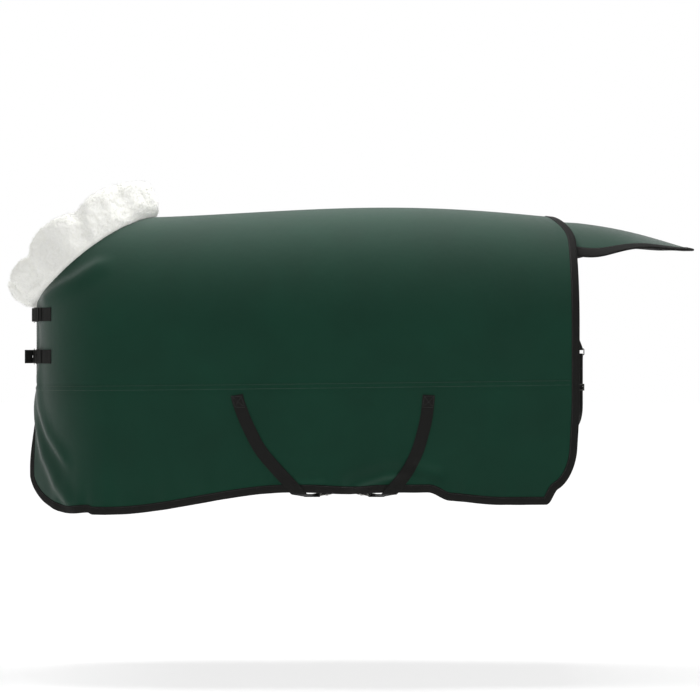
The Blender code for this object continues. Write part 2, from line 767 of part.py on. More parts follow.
# ---- Surcingles -------------------------------------------------------------------------------
STRAP_SEAT = COVER + WEB_THICK / 2
HEM_SEAT = BIND_OUT + 0.0014 + WEB_THICK / 2
EDGE_GIRTH = HEM_MID_DROP + 0.008 - STRAP_TOP_DROP      # sewn end to the hem, down the side
BELLY = 2 * BARREL_HALF
FULL_GIRTH = 2 * EDGE_GIRTH + BELLY
TURN_RADIUS = HEM_SEAT


def girth_point(x, girth, lift):
    """A point on the straps' way: down the left side, under the belly, up the right side."""
    side = LEFT if girth < FULL_GIRTH / 2 else RIGHT
    near = min(girth, FULL_GIRTH - girth)
    half = half_width(x)
    quarter = 0.5 * math.pi * TURN_RADIUS
    if near < EDGE_GIRTH - quarter / 2:
        seat = STRAP_SEAT + (HEM_SEAT - STRAP_SEAT) * smooth((near - EDGE_GIRTH + 0.055) / 0.03)
        return (np.array((x, side * (half + seat + lift), -STRAP_TOP_DROP - near)),
                np.array((0.0, side, 0.0)))
    bottom = -STRAP_TOP_DROP - EDGE_GIRTH + quarter / 2
    if near < EDGE_GIRTH + quarter / 2:
        turn = (near - EDGE_GIRTH + quarter / 2) / TURN_RADIUS
        normal = np.array((0.0, side * math.cos(turn), -math.sin(turn)))
        centre = np.array((x, side * half, bottom))
        return centre + normal * (TURN_RADIUS + lift), normal
    inward = near - EDGE_GIRTH - quarter / 2
    y = side * max(half - inward * half / (BELLY / 2 - quarter / 2), 0.0)
    sag = 0.010 * min(1.0, (half - abs(y)) / 0.05)
    return np.array((x, y, bottom - TURN_RADIUS - sag - lift)), np.array((0.0, 0.0, -1.0))


def strap_route(front_side):
    """X against girth for the strap that starts at the left front or left rear anchor."""
    near, far = (SURCINGLE_FRONT, SURCINGLE_REAR) if front_side else (SURCINGLE_REAR,
                                                                     SURCINGLE_FRONT)
    steps = np.array(SURCINGLE_STEPS)
    inside = EDGE_GIRTH + 0.03
    lean = 0.03 if near[-1] < far[-1] else -0.03
    girths = [*steps, inside, FULL_GIRTH - inside, *(FULL_GIRTH - steps[::-1])]
    return girths, [*near, near[-1] + lean, far[-1] - lean, *far[::-1]]


def route_x(front_side, girth):
    """The route with its corners eased."""
    girths, places = strap_route(front_side)
    near = np.interp(girth + np.linspace(-0.03, 0.03, 7), girths, places)
    return float(near.mean())


def crossing(girth):
    """1 where the surcingles cross under the belly, 0 towards the hems."""
    return smooth((min(girth, FULL_GIRTH - girth) - EDGE_GIRTH - 0.20) / 0.06)


def strap_rows(front_side, girths, lifts, cross):
    rows = []
    for girth, lift in zip(girths, lifts):
        step = 0.004
        slope = (route_x(front_side, girth + step) - route_x(front_side, girth - step)) / (2 * step)
        length = math.hypot(1.0, slope)
        across = (1 / length, -slope / length)
        row = []
        for share in (-0.5, -0.25, 0.0, 0.25, 0.5):
            x = route_x(front_side, girth) + across[0] * WEB * share
            place = girth + across[1] * WEB * share
            row.append(girth_point(x, place, lift + cross * crossing(place))[0])
        rows.append(row)
    return rows


PLATE_GIRTH = EDGE_GIRTH + 0.085      # the left strap's fold round its slot plate
PLATE_THICK = 0.0025
HOOK_GIRTH = PLATE_GIRTH + 0.056      # the right strap's fold round its T-hook
FOLD = 0.0033                         # middle of the webbing round a plate's bar
BAR_HALF = 0.0012
LAP = LAYER / 2


def folded(start, fold, back, direction):
    """Girths and lifts of a strap that folds round a bar and comes back over itself."""
    run = np.linspace(start, fold - direction * 0.014, max(6, int(abs(fold - start) / 0.035)))
    near = [(g, 0.0) for g in run[:-1]] + [(run[-1], -LAP)]
    near += [(fold - direction * 0.004, -FOLD)]
    turn = [(fold + direction * s, h) for s, h in arc((0.0, 0.0), FOLD, -90, 90, 5)]
    away = [(fold - direction * 0.004, FOLD), (fold - direction * 0.014, LAP + 0.0004),
            (fold - direction * back, LAP + 0.0004)]
    points = near + turn + away
    return [p[0] for p in points], [p[1] for p in points]


def hem_detail(girths, lifts):
    """Adds close rows where the strap turns under the hem."""
    extra = []
    for edge in (EDGE_GIRTH, FULL_GIRTH - EDGE_GIRTH):
        if min(girths) < edge < max(girths):
            extra += list(edge + np.linspace(-0.024, 0.024, 13))
    pairs = list(zip(girths, lifts))
    turn = next(k for k, pair in enumerate(pairs) if pair[1] != 0.0)
    ahead = [(g, 0.0) for g in extra] + [p for p in pairs[:turn]
                                         if all(abs(p[0] - g) > 0.003 for g in extra)]
    ahead.sort(key=lambda pair: abs(pair[0] - girths[0]))
    pairs = ahead + pairs[turn:]
    return [p[0] for p in pairs], [p[1] for p in pairs]


def make_surcingles():
    for name, front_side, cross in (("front", True, 0.0), ("rear", False, CROSS_DROP)):
        girths, lifts = hem_detail(*folded(0.0, PLATE_GIRTH, 0.034, 1))
        sheet(f"left_{name}_surcingle", strap_rows(front_side, girths, lifts, 0.0),
              WEB_THICK, WEBBING, even=True)
        girths, lifts = hem_detail(*folded(FULL_GIRTH, HOOK_GIRTH, 0.034, -1))
        other = "rear" if front_side else "front"
        sheet(f"right_{other}_surcingle", strap_rows(front_side, girths, lifts, cross),
              WEB_THICK, WEBBING, even=True)
        make_hook_set(name, front_side)
        make_slider(f"right_{other}_slider", front_side, cross)


def belly_frame(front_side, girth, cross=0.0):
    """Frame on the belly run: x along the strap, y across it, z down and out."""
    def place(g):
        return girth_point(route_x(front_side, g), g, cross * crossing(g))[0]
    along = unit(place(girth + 0.01) - place(girth - 0.01))
    across = unit(np.cross(np.array((0.0, 0.0, -1.0)), along))
    return axes_frame(place(girth), along, across, np.cross(along, across))


def plate(name, size, frame, finish):
    item = add_object(name, box_mesh(name, size), finish)
    item.matrix_world = frame
    return item


def shifted(frame, place):
    return frame @ Matrix.Translation(place)


def cut_box(item, name, size, frame):
    boolean(item, box_cutter(f"{item.name}_{name}", size, frame), "DIFFERENCE")


def join_boxes(item, blocks, frame):
    for index, (size, place) in enumerate(blocks):
        boolean(item, box_cutter(f"{item.name}_block_{index}", size, shifted(frame, place)),
                "UNION")


CUT = 0.01                            # depth of a cutter through thin metal
PLATE_LENGTH, PLATE_WIDTH = 0.036, WEB + 0.012
STRAP_GAP = (WEB_THICK + 0.0022, WEB + 0.003, CUT)
HOOK_GAP = (0.0168, 0.0268)           # the hook's slot, from the strap's bar
HOOK_SLOT = 0.031                     # its length across the plate
HOOK_HEAD, HOOK_NECK = 0.028, 0.014   # the hook's widths
HOOK_BASE = 0.019


def make_hook_set(name, front_side):
    """A slot plate on the left strap and the T-hook of the right strap in its slot."""
    fold = belly_frame(front_side, PLATE_GIRTH)
    slot_plate = plate(f"{name}_slot_plate", (PLATE_LENGTH, PLATE_WIDTH, PLATE_THICK),
                       shifted(fold, (PLATE_LENGTH / 2 - BAR_HALF, 0, 0)), METAL)
    cut_box(slot_plate, "strap_gap", STRAP_GAP, shifted(fold, (BAR_HALF + STRAP_GAP[0] / 2, 0, 0)))
    cut_box(slot_plate, "hook_gap", (HOOK_GAP[1] - HOOK_GAP[0], HOOK_SLOT, CUT),
            shifted(fold, (sum(HOOK_GAP) / 2, 0, 0)))
    frame = belly_frame(front_side, HOOK_GIRTH)
    hook = plate(f"{name}_t_hook", (HOOK_BASE, PLATE_WIDTH, PLATE_THICK),
                 shifted(frame, (BAR_HALF - HOOK_BASE / 2, 0, 0)), METAL)
    cut_box(hook, "strap_gap", STRAP_GAP, shifted(frame, (-BAR_HALF - STRAP_GAP[0] / 2, 0, 0)))
    edge = HOOK_GAP[1] - (frame.translation - fold.translation).length
    lift = PLATE_THICK + GAP
    tall = 2 * lift + PLATE_THICK
    stem = edge - 0.0008 - PLATE_THICK / 2
    neck = (stem - PLATE_THICK / 2, BAR_HALF - HOOK_BASE + 0.0015)
    blocks = [((0.005, HOOK_NECK, lift + PLATE_THICK), (neck[1] - 0.0025, 0, -lift / 2))]
    blocks += [((neck[1] - neck[0], HOOK_NECK + MEET, PLATE_THICK), (sum(neck) / 2, 0, -lift))]
    blocks += [((PLATE_THICK, HOOK_NECK + 2 * MEET, tall), (stem, 0, 0))]
    blocks += [((0.008, HOOK_HEAD, PLATE_THICK - MEET), (stem + 0.0028, 0, lift))]
    join_boxes(hook, blocks, frame)


SLIDER_GIRTH = FULL_GIRTH - EDGE_GIRTH - 0.13
SLIDER_LENGTH, SLIDER_WIDTH, SLIDER_THICK = 0.030, WEB + 0.010, 0.002
SLIDER_WALL = 0.004


def make_slider(name, front_side, cross):
    """An adjuster: two end bars outside the strap and a middle bar inside it."""
    frame = belly_frame(front_side, SLIDER_GIRTH, cross)
    height = WEB_THICK / 2 + GAP + SLIDER_THICK / 2
    outer = shifted(frame, (0, 0, height))
    body = plate(name, (SLIDER_LENGTH, SLIDER_WIDTH, SLIDER_THICK), outer, METAL)
    cut_box(body, "window", (SLIDER_LENGTH - 2 * SLIDER_WALL, SLIDER_WIDTH - 2 * SLIDER_WALL, CUT), outer)
    post = (SLIDER_WIDTH - SLIDER_WALL) / 2 - 0.00025
    blocks = [((SLIDER_WALL, SLIDER_WIDTH - 5 * MEET, SLIDER_THICK), (0, 0, -height))]
    blocks += [((SLIDER_WALL + MEET, SLIDER_WALL - 0.0005, 2 * height + SLIDER_THICK - MEET), (0, y, 0))
               for y in (-post, post)]
    join_boxes(body, blocks, frame)


# ---- Tail strap -------------------------------------------------------------------------------
RING_X = REAR_X + 0.004
RING_HALF = TAIL_WEB / 2 + 0.0015 + RING_WIRE
RING_Y = REAR_HALF - 0.0155
STRAP_FOLD = RING_WIRE + GAP + WEB_THICK / 2
STRAP_TOP = RING_DROP + RING_HEIGHT


def ring_points(side):
    radius = 0.003
    points = []
    for cx, cz, start in ((1, 1, 0), (-1, 1, 90), (-1, -1, 180), (1, -1, 270)):
        centre = (cx * (RING_HALF - radius), cz * (RING_HEIGHT / 2 - radius))
        points += arc(centre, radius, start, start + 90, 4)
    middle = -RING_DROP - RING_HEIGHT / 2
    return [(RING_X + x, side * RING_Y, middle + z) for x, z in points]


def make_rings():
    for name, side in SIDES:
        ring = wire(f"{name}_tail_ring", ring_points(side), RING_WIRE, DARK_METAL, closed=True)
        set_pivot(ring, (RING_X, side * RING_Y, -RING_DROP))
        wall = REAR_HALF - BIND_OUT - GAP - WEB_THICK / 2
        bar = arc((side * RING_Y, -RING_DROP), STRAP_FOLD, 180 if side < 0 else 0,
                  360 if side < 0 else -180, 7)
        top = -RING_DROP + 0.055
        inner = RING_Y - STRAP_FOLD
        line = [(side * wall, top), (side * wall, -RING_DROP + 0.016)]
        line += [(side * (RING_Y + STRAP_FOLD), -RING_DROP + 0.004)]
        line += bar + [(side * inner, -RING_DROP + 0.004)]
        line += [(side * (wall - LAYER), -RING_DROP + 0.016), (side * (wall - LAYER), top - 0.01)]
        lean = np.interp([z for _, z in line], (-RING_DROP, top), (RING_X, RING_X - 0.022))
        rows = [((x - TAIL_WEB / 2, y, z), (x + TAIL_WEB / 2, y, z)) for (y, z), x in zip(line, lean)]
        sheet(f"{name}_ring_tab", rows, WEB_THICK, WEBBING, even=True)


LINK_HEIGHT = 0.016
HOOK_HEIGHT = 0.046
FAR_TOP = STRAP_TOP + HOOK_HEIGHT + LINK_HEIGHT + 0.001    # drop of the link's lower bar
STRAIGHT_RUN = 0.165                                       # straight part below the left ring


def tail_strap_line():
    """Centres (y, z) of the tail strap, left ring to the link under the right ring."""
    bottom = -RING_DROP - TAIL_STRAP_DROP
    turn_top = -STRAP_TOP - STRAIGHT_RUN
    radius = turn_top - bottom
    inner = -RING_Y + STRAP_FOLD
    left = [(inner + LAYER, -STRAP_TOP - 0.045), (inner + LAYER, -STRAP_TOP - 0.018),
            (inner, -STRAP_TOP - 0.006)]
    fold = [(y, z) for y, z in arc((-RING_Y, -STRAP_TOP), STRAP_FOLD, 0, 180, 7)]
    down = [(-RING_Y - STRAP_FOLD, -STRAP_TOP - 0.006), (-RING_Y, -STRAP_TOP - 0.018)]
    down += [(-RING_Y, z) for z in np.linspace(-STRAP_TOP - 0.045, turn_top, 5)]
    curve = []
    for turn in np.linspace(math.pi, 2 * math.pi, 19)[1:-1]:
        curve.append((RING_Y * math.cos(turn), turn_top + radius * math.sin(turn)))
    up = [(RING_Y, z) for z in np.linspace(turn_top, -FAR_TOP - 0.018, 4)]
    up += [(RING_Y + STRAP_FOLD, -FAR_TOP - 0.006)]
    over = [(y, z) for y, z in arc((RING_Y, -FAR_TOP), STRAP_FOLD, 0, 180, 7)]
    end = [(RING_Y - STRAP_FOLD, -FAR_TOP - 0.006), (RING_Y - LAYER, -FAR_TOP - 0.018),
           (RING_Y - LAYER, -FAR_TOP - 0.04)]
    return left + fold + down + curve + up + over + end


def make_tail_strap():
    rows = [((RING_X - TAIL_WEB / 2, y, z), (RING_X + TAIL_WEB / 2, y, z))
            for y, z in tail_strap_line()]
    strap = sheet("tail_strap", rows, WEB_THICK, WEBBING, even=True)
    set_pivot(strap, (RING_X, -RING_Y, -RING_DROP))
    make_tail_slider()
    make_snap()


def make_tail_slider():
    centre = Vector((RING_X, -RING_Y, -STRAP_TOP - 0.105))
    height = WEB_THICK / 2 + GAP + 0.001
    width = TAIL_WEB + 0.009
    name = "tail_strap_slider"
    body = plate(name, (width, 0.002, 0.022), Matrix.Translation(centre + Vector((0, -height, 0))),
                 DARK_METAL)
    window = box_cutter(f"{name}_window", (TAIL_WEB + 0.002, 0.01, 0.015),
                        Matrix.Translation(centre + Vector((0, -height, 0))))
    boolean(body, window, "DIFFERENCE")
    reach = TAIL_WEB / 2 + 0.0025
    blocks = [((width - 0.0002, 0.002, 0.0035), (0, height, 0))]
    blocks += [((0.003, 2 * height + 0.0019, 0.0036), (x, 0, 0)) for x in (-reach, reach)]
    join_boxes(body, blocks, Matrix.Translation(centre))


def make_snap():
    """Right end: a snap hook on the ring, a square link in its eye and the sprung gate."""
    base = -STRAP_TOP - HOOK_HEIGHT
    half, wire_radius = 0.0085, 0.0020
    crown = base + HOOK_HEIGHT + RING_WIRE + GAP + wire_radius
    eye_low, nose = base + wire_radius, crown - 0.0105
    path = [(half, eye_low + 0.013), (half, eye_low + 0.008)]
    path += arc((0.0, eye_low + half - wire_radius), half, 0, -180, 9)[1:]
    path += arc((0.0, crown - half), half, 180, 0, 9)
    path += [(half, nose)]
    hook = wire("snap_hook", [(RING_X, RING_Y + y, z) for y, z in path], wire_radius, DARK_METAL)
    set_pivot(hook, (RING_X, RING_Y, -RING_DROP))
    low, high = eye_low + 0.013 + 2 * GAP, nose - GAP
    gate = wire("snap_gate", [(RING_X, RING_Y + half, z) for z in np.linspace(low, high, 3)],
                wire_radius * 0.8, DARK_METAL)
    set_pivot(gate, (RING_X, RING_Y + half, low))
    link_half = TAIL_WEB / 2 + 0.0015 + RING_WIRE
    low_bar = -FAR_TOP
    high_bar = eye_low - 0.0005 + GAP + wire_radius + RING_WIRE
    points = []
    for cx, cz, start in ((1, 1, 0), (-1, 1, 90), (-1, -1, 180), (1, -1, 270)):
        centre = (cx * (link_half - 0.003),
                  (high_bar + low_bar) / 2 + cz * ((high_bar - low_bar) / 2 - 0.003))
        points += arc(centre, 0.003, start, start + 90, 4)
    link = wire("snap_link", [(RING_X + x, RING_Y, z) for x, z in points], RING_WIRE,
                DARK_METAL, closed=True)
    set_pivot(link, (RING_X, RING_Y, -RING_DROP))


make_panels()
make_seam_tapes()
make_edge_binding()
make_collar()
make_flap()
make_flap_binding()
make_closures()
make_surcingles()
make_rings()
make_tail_strap()
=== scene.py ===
"""Turnout rug: the looks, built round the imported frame.

Metres, +Z up.  +X runs from the withers to the tail, -Y is the horse's left side.
"""
import json
import math
from functools import partial

import bmesh
import bpy
import numpy as np
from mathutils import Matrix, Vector, noise

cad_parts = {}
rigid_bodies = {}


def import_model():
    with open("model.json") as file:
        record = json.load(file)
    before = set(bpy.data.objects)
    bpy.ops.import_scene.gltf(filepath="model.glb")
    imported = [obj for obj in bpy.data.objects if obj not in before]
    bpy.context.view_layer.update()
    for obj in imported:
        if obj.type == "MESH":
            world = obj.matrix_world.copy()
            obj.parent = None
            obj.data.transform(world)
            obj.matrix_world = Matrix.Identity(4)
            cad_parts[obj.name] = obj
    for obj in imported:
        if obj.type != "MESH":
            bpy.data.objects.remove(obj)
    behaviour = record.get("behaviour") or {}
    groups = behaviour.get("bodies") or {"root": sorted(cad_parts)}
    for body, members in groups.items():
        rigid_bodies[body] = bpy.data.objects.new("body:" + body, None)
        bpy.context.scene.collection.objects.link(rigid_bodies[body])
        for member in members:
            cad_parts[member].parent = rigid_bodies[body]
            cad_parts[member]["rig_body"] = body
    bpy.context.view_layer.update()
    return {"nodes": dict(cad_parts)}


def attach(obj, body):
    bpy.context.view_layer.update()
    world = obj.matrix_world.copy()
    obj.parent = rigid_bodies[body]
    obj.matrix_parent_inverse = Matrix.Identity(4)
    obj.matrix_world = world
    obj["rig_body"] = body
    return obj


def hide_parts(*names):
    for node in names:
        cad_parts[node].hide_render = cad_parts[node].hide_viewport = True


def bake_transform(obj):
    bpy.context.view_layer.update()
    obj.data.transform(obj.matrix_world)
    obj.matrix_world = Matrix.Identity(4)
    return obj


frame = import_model()

# ---- Sizes, as in the CAD part ----
BACK_LENGTH, REAR_FLARE = 1.346, 0.058
CHEST_REACH, CHEST_BOW = 0.395, 0.28
CROWN_DROP, TOP_RISE = 0.37, 0.032
SHOULDER_HALF, BARREL_HALF, REAR_HALF = 0.265, 0.31, 0.275
SHOULDER_RUN, QUARTER_START, WIDTH_SPLIT = 0.85, 0.75, 0.45
TOP_SKEW = 1.3
NECK_DROP, NECK_CURVE = 0.298, 1.35
SEAM_FRONT_DROP, SEAM_REAR_DROP = 0.578, 0.555
HEM_FRONT_DROP, HEM_MID_DROP, HEM_REAR_DROP = 0.98, 0.905, 0.947
FRONT_CORNER, REAR_CORNER = (0.16, 0.13), (0.095, 0.14)
HEM_STEP, HEM_STEP_X, HEM_STEP_RUN, HEM_EASE_X, HEM_EASE_RUN = 0.025, 0.925, 0.07, 0.95, 0.22
HEM_SAG, HEM_SAG_X, HEM_SAG_RUN = 0.005, 0.655, 0.13
CUSP_RISE, CUSP_PLACE, CUSP_RUN = 0.040, 0.060, 0.034
NICK_RISE, NICK_ALONG, NICK_BEFORE, NICK_AFTER = 0.006, 0.330, 0.060, 0.012
OPEN_FRONT_HALF, OPEN_FRONT_TOP, OPEN_FRONT_EASE, OPEN_FRONT_REACH = 0.10, 0.60, 0.25, 0.01
HEM_FALL_START, HEM_FALL_RUN = -0.12, 0.60
REAR_TURN = 42.0                  # degrees round the crown over which the rear edge flares
EDGE_SPLIT = 0.003
PANEL_THICK, BINDING_WIDTH, BINDING_THICK = 0.005, 0.022, 0.0012
FLAP_LENGTH, FLAP_HALF, FLAP_FALL = 0.465, 0.20, 0.098
FLAP_CLEAR, FLAP_ROOT, FLAP_CORNER, FLAP_THICK = 0.0116, 0.045, 0.07, 0.0035
WEB, TAIL_WEB, WEB_THICK = 0.040, 0.025, 0.0022
STRAP_TOP_DROP = 0.594
SURCINGLE_FRONT = (0.295, 0.324, 0.372, 0.437, 0.492)
SURCINGLE_REAR = (0.918, 0.909, 0.883, 0.847, 0.796)
SURCINGLE_STEPS = (0.0, 0.081, 0.178, 0.252, 0.310)
CROSS_DROP = 0.007

BOW_LENGTH = 0.5 * math.pi * math.sqrt(0.5 * (CHEST_BOW ** 2 + SHOULDER_HALF ** 2))
CROWN_LENGTH = 0.5 * math.pi * math.sqrt(0.5 * (CROWN_DROP ** 2 + BARREL_HALF ** 2))
REAR_X = BACK_LENGTH + REAR_FLARE
NECK_END = BOW_LENGTH + CHEST_REACH - CHEST_BOW      # along a side, where x is 0
SIDE_END = BOW_LENGTH + REAR_X + CHEST_REACH - CHEST_BOW
FLAP_TIP = BACK_LENGTH + FLAP_LENGTH
LEFT, RIGHT = -1, 1
SIDES = (("left", LEFT), ("right", RIGHT))

# How finely the cloth is drawn
COLUMNS = 240
UPPER_ROWS, CHEST_SHARE = 90, 0.3
LOWER_ROWS = 44
BORDER_STEP, FLAP_BORDER_STEP = 0.007, 0.006


# ---- Numbers and noise ----
def smooth(t):
    t = np.clip(t, 0.0, 1.0)
    return t * t * (3 - 2 * t)


def bump(t):
    """1 at 0, easing to 0 at -1 and 1."""
    return smooth(1 - np.abs(t))


def unit(v):
    v = np.asarray(v, float)
    return v / np.maximum(np.linalg.norm(v, axis=-1, keepdims=True), 1e-12)


def normal_of(place, a, b, step_a, step_b):
    """Unit normals of a surface, from its points a step either way in both coordinates."""
    along = place(a + step_a, b) - place(a - step_a, b)
    across = place(a, b + step_b) - place(a, b - step_b)
    return unit(np.cross(along, across))


def run_of(points):
    """Length from the first point to each point of a line."""
    steps = np.linalg.norm(np.diff(points, axis=0), axis=1)
    return np.concatenate(([0.0], np.cumsum(steps)))


def evenly(line, step):
    """The line read at about even steps, and its direction there."""
    line = line[np.concatenate(([True], np.linalg.norm(np.diff(line, axis=0), axis=1) > 1e-6))]
    run = run_of(line)
    even = np.linspace(0.0, run[-1], int(run[-1] / step))
    line = np.stack([np.interp(even, run, line[:, k]) for k in (0, 1)], axis=-1)
    return line, unit(np.gradient(line, axis=0))


def noise_field(points, size, seed):
    """Smooth noise about -1 to 1 at each point, with features of the given size in metres."""
    flat = np.asarray(points, float).reshape(-1, 3) / size + seed
    values = np.array([noise.noise(Vector(p)) for p in flat])
    return values.reshape(np.asarray(points).shape[:-1])


# ---- The rug's surface ----
def half_width(x):
    fore = SHOULDER_HALF + (BARREL_HALF - SHOULDER_HALF) * smooth((x + CHEST_REACH) / SHOULDER_RUN)
    to_rear = smooth((x - QUARTER_START) / (REAR_X - QUARTER_START))
    aft = BARREL_HALF + (REAR_HALF - BARREL_HALF) * to_rear
    return np.where(x < WIDTH_SPLIT, fore, aft)


def top_line(x):
    share = np.clip(x / BACK_LENGTH, 0.0, 1.0)
    return TOP_RISE * np.sin(math.pi * share ** TOP_SKEW)


def drop_of(down):
    """The drop below the top, at a length down the cloth."""
    turn = 0.5 * math.pi * np.minimum(down, CROWN_LENGTH) / CROWN_LENGTH
    return CROWN_DROP * (1 - np.cos(turn)) + np.maximum(down - CROWN_LENGTH, 0.0)


def down_of(drop):
    """The length down the cloth, at a drop below the top."""
    crown = CROWN_LENGTH * np.arccos(np.clip(1 - drop / CROWN_DROP, 0.0, 1.0)) / (0.5 * math.pi)
    return crown + np.maximum(drop - CROWN_DROP, 0.0)


def surface(side, along, down):
    """A point of the panels' mid surface, from lengths along the side and down from the top."""
    along, down = np.broadcast_arrays(np.asarray(along, float), np.asarray(down, float))
    drop = drop_of(down)
    round_share = np.sin(0.5 * math.pi * np.minimum(down, CROWN_LENGTH) / CROWN_LENGTH)
    bow_turn = 0.5 * math.pi * np.clip(along / BOW_LENGTH, -1.0, 1.0)
    part = smooth((drop - OPEN_FRONT_TOP) / OPEN_FRONT_EASE)
    bow = (1 - part) * (1 - np.cos(bow_turn)) + part * 2 * bow_turn / math.pi
    x = -CHEST_REACH - OPEN_FRONT_REACH * part + CHEST_BOW * bow
    x = x + np.maximum(0.0, along - BOW_LENGTH)
    spread = np.sin(bow_turn) * half_width(x)
    spread = spread + OPEN_FRONT_HALF * part * (1 - np.abs(np.sin(bow_turn)))
    z = top_line(x) * np.maximum(0.0, 1 - drop / CROWN_DROP) - drop
    return np.stack((x, side * spread * round_share, z), axis=-1)


def surface_normal(side, along, down):
    return normal_of(partial(surface, side), along, down, 0.002, 0.002) * side


def seam_drop(along):
    return SEAM_FRONT_DROP + (SEAM_REAR_DROP - SEAM_FRONT_DROP) * along / SIDE_END


def hem_drop(along):
    x = along - NECK_END
    fallen = smooth((x - HEM_FALL_START) / HEM_FALL_RUN)
    drop = HEM_FRONT_DROP + (HEM_MID_DROP - HEM_FRONT_DROP) * fallen
    # behind the rear surcingle the hem steps down, then eases down to the corner
    drop = drop + HEM_STEP * smooth((x - HEM_STEP_X) / HEM_STEP_RUN)
    rest = HEM_REAR_DROP - HEM_MID_DROP - HEM_STEP
    drop = drop + rest * smooth((x - HEM_EASE_X) / HEM_EASE_RUN)
    drop = drop + HEM_SAG * bump((x - HEM_SAG_X) / HEM_SAG_RUN)     # between the surcingles
    front = CHEST_BOW * along / BOW_LENGTH
    rear = SIDE_END - along
    for place, (length, height) in ((front, FRONT_CORNER), (rear, REAR_CORNER)):
        inner = np.clip((length - place) / length, 0.0, 1.0)
        drop = drop - height * (1 - np.sqrt(1 - inner ** 2))
    # the cusp where the rear corner tucks in, and the nick where the front crease meets the hem
    drop = drop - CUSP_RISE * (1 - smooth((rear - CUSP_PLACE) / CUSP_RUN))
    width = np.where(along < NICK_ALONG, NICK_BEFORE, NICK_AFTER)
    return drop - NICK_RISE * np.exp(-((along - NICK_ALONG) / width) ** 2)


def neckline(share):
    """Along and down lengths of the neck's edge, at shares from its front to the withers."""
    along = EDGE_SPLIT + (NECK_END - EDGE_SPLIT) * share
    x = surface(LEFT, along, CROWN_LENGTH)[..., 0]
    forward = np.clip(-x / CHEST_REACH, 0.0, 1.0)
    return along, down_of(NECK_DROP * forward ** NECK_CURVE)


def rear_along(down):
    turn = 90.0 * np.minimum(down / CROWN_LENGTH, 1.0)
    return SIDE_END - REAR_FLARE * (1 - smooth(turn / REAR_TURN))


# ---- Folds in the cloth ----
# Each fold: its line of (along, drop) points, its half width, its height, and how much tighter
# it turns on the side to the right (over 1) or to the left (under 1) of the line as it runs.
FOLDS = (
    # creases where the front turns in below the chest
    (((0.098, 0.42), (0.104, 0.54), (0.118, 0.64), (0.150, 0.73), (0.215, 0.81), (0.262, 0.84)),
     0.028, 0.0085, 1.5),
    (((0.060, 0.54), (0.060, 0.68), (0.095, 0.80), (0.165, 0.89), (0.250, 0.955), (0.315, 0.985)),
     0.034, 0.0115, 1.6),
    (((0.086, 0.34), (0.090, 0.44), (0.096, 0.54)), 0.018, -0.0060, 1.0),
    # drape that runs back from the bottom of the collar
    (((0.110, 0.300), (0.221, 0.254), (0.303, 0.222), (0.384, 0.174), (0.445, 0.160)),
     0.034, 0.0085, 0.60),
    # pull of the rear surcingle on the hem
    (((1.190, 0.910), (1.222, 0.889), (1.258, 0.871), (1.325, 0.849), (1.400, 0.840)),
     0.034, 0.0150, 2.2),
    (((1.385, 0.820), (1.450, 0.835), (1.530, 0.862)), 0.022, -0.0080, 1.0),
    (((1.030, 0.872), (1.090, 0.864), (1.150, 0.860)), 0.018, 0.0050, 1.6),
    # turn of the cloth into the rear binding
    (((2.085, 0.22), (2.100, 0.42), (2.110, 0.62), (2.085, 0.80)), 0.030, 0.0050, 1.0),
    # soft hang of the quarters
    (((1.700, 0.40), (1.730, 0.60), (1.760, 0.80)), 0.060, 0.0050, 1.0),
    (((1.450, 0.55), (1.440, 0.72), (1.470, 0.88)), 0.070, 0.0035, 1.0),
    (((0.560, 0.60), (0.540, 0.76), (0.520, 0.92)), 0.070, 0.0040, 1.0),
)
BOTH_SIDES_SHIFT = 0.018          # how far the right side's folds lie from the left side's
HANG_TOP, HANG_RUN, HANG_OUT = 0.42, 0.5, 0.0035
SEAM_RIDGE, SEAM_GROOVE, PUCKER_LENGTHS = 0.0016, 0.0012, (0.021, 0.13)
HEM_WAVE, HEM_WAVES = 0.0022, (0.115, 0.067)


def fold_height(points, half, height, tightness, along, drop):
    """Height of one soft fold that follows a broken line and fades at both ends."""
    line = np.array(points)
    best = np.full(along.shape, np.inf)
    place = np.zeros(along.shape)
    right = np.zeros(along.shape, bool)
    start = run_of(line)
    lengths = np.diff(start)
    for k, (a, b) in enumerate(zip(line, line[1:])):
        run = b - a
        t = np.clip(((along - a[0]) * run[0] + (drop - a[1]) * run[1]) / (run @ run), 0.0, 1.0)
        away = np.hypot(along - a[0] - t * run[0], drop - a[1] - t * run[1])
        nearer = away < best
        best = np.where(nearer, away, best)
        place = np.where(nearer, (start[k] + t * lengths[k]) / start[-1], place)
        across = run[0] * (drop - a[1]) - run[1] * (along - a[0])
        right = np.where(nearer, across > 0, right)
    ends = smooth(place / 0.2) * smooth((1 - place) / 0.2)
    width = half / np.where(right, max(tightness, 1.0), max(1 / tightness, 1.0))
    return height * ends * np.exp(-(best / width) ** 2)


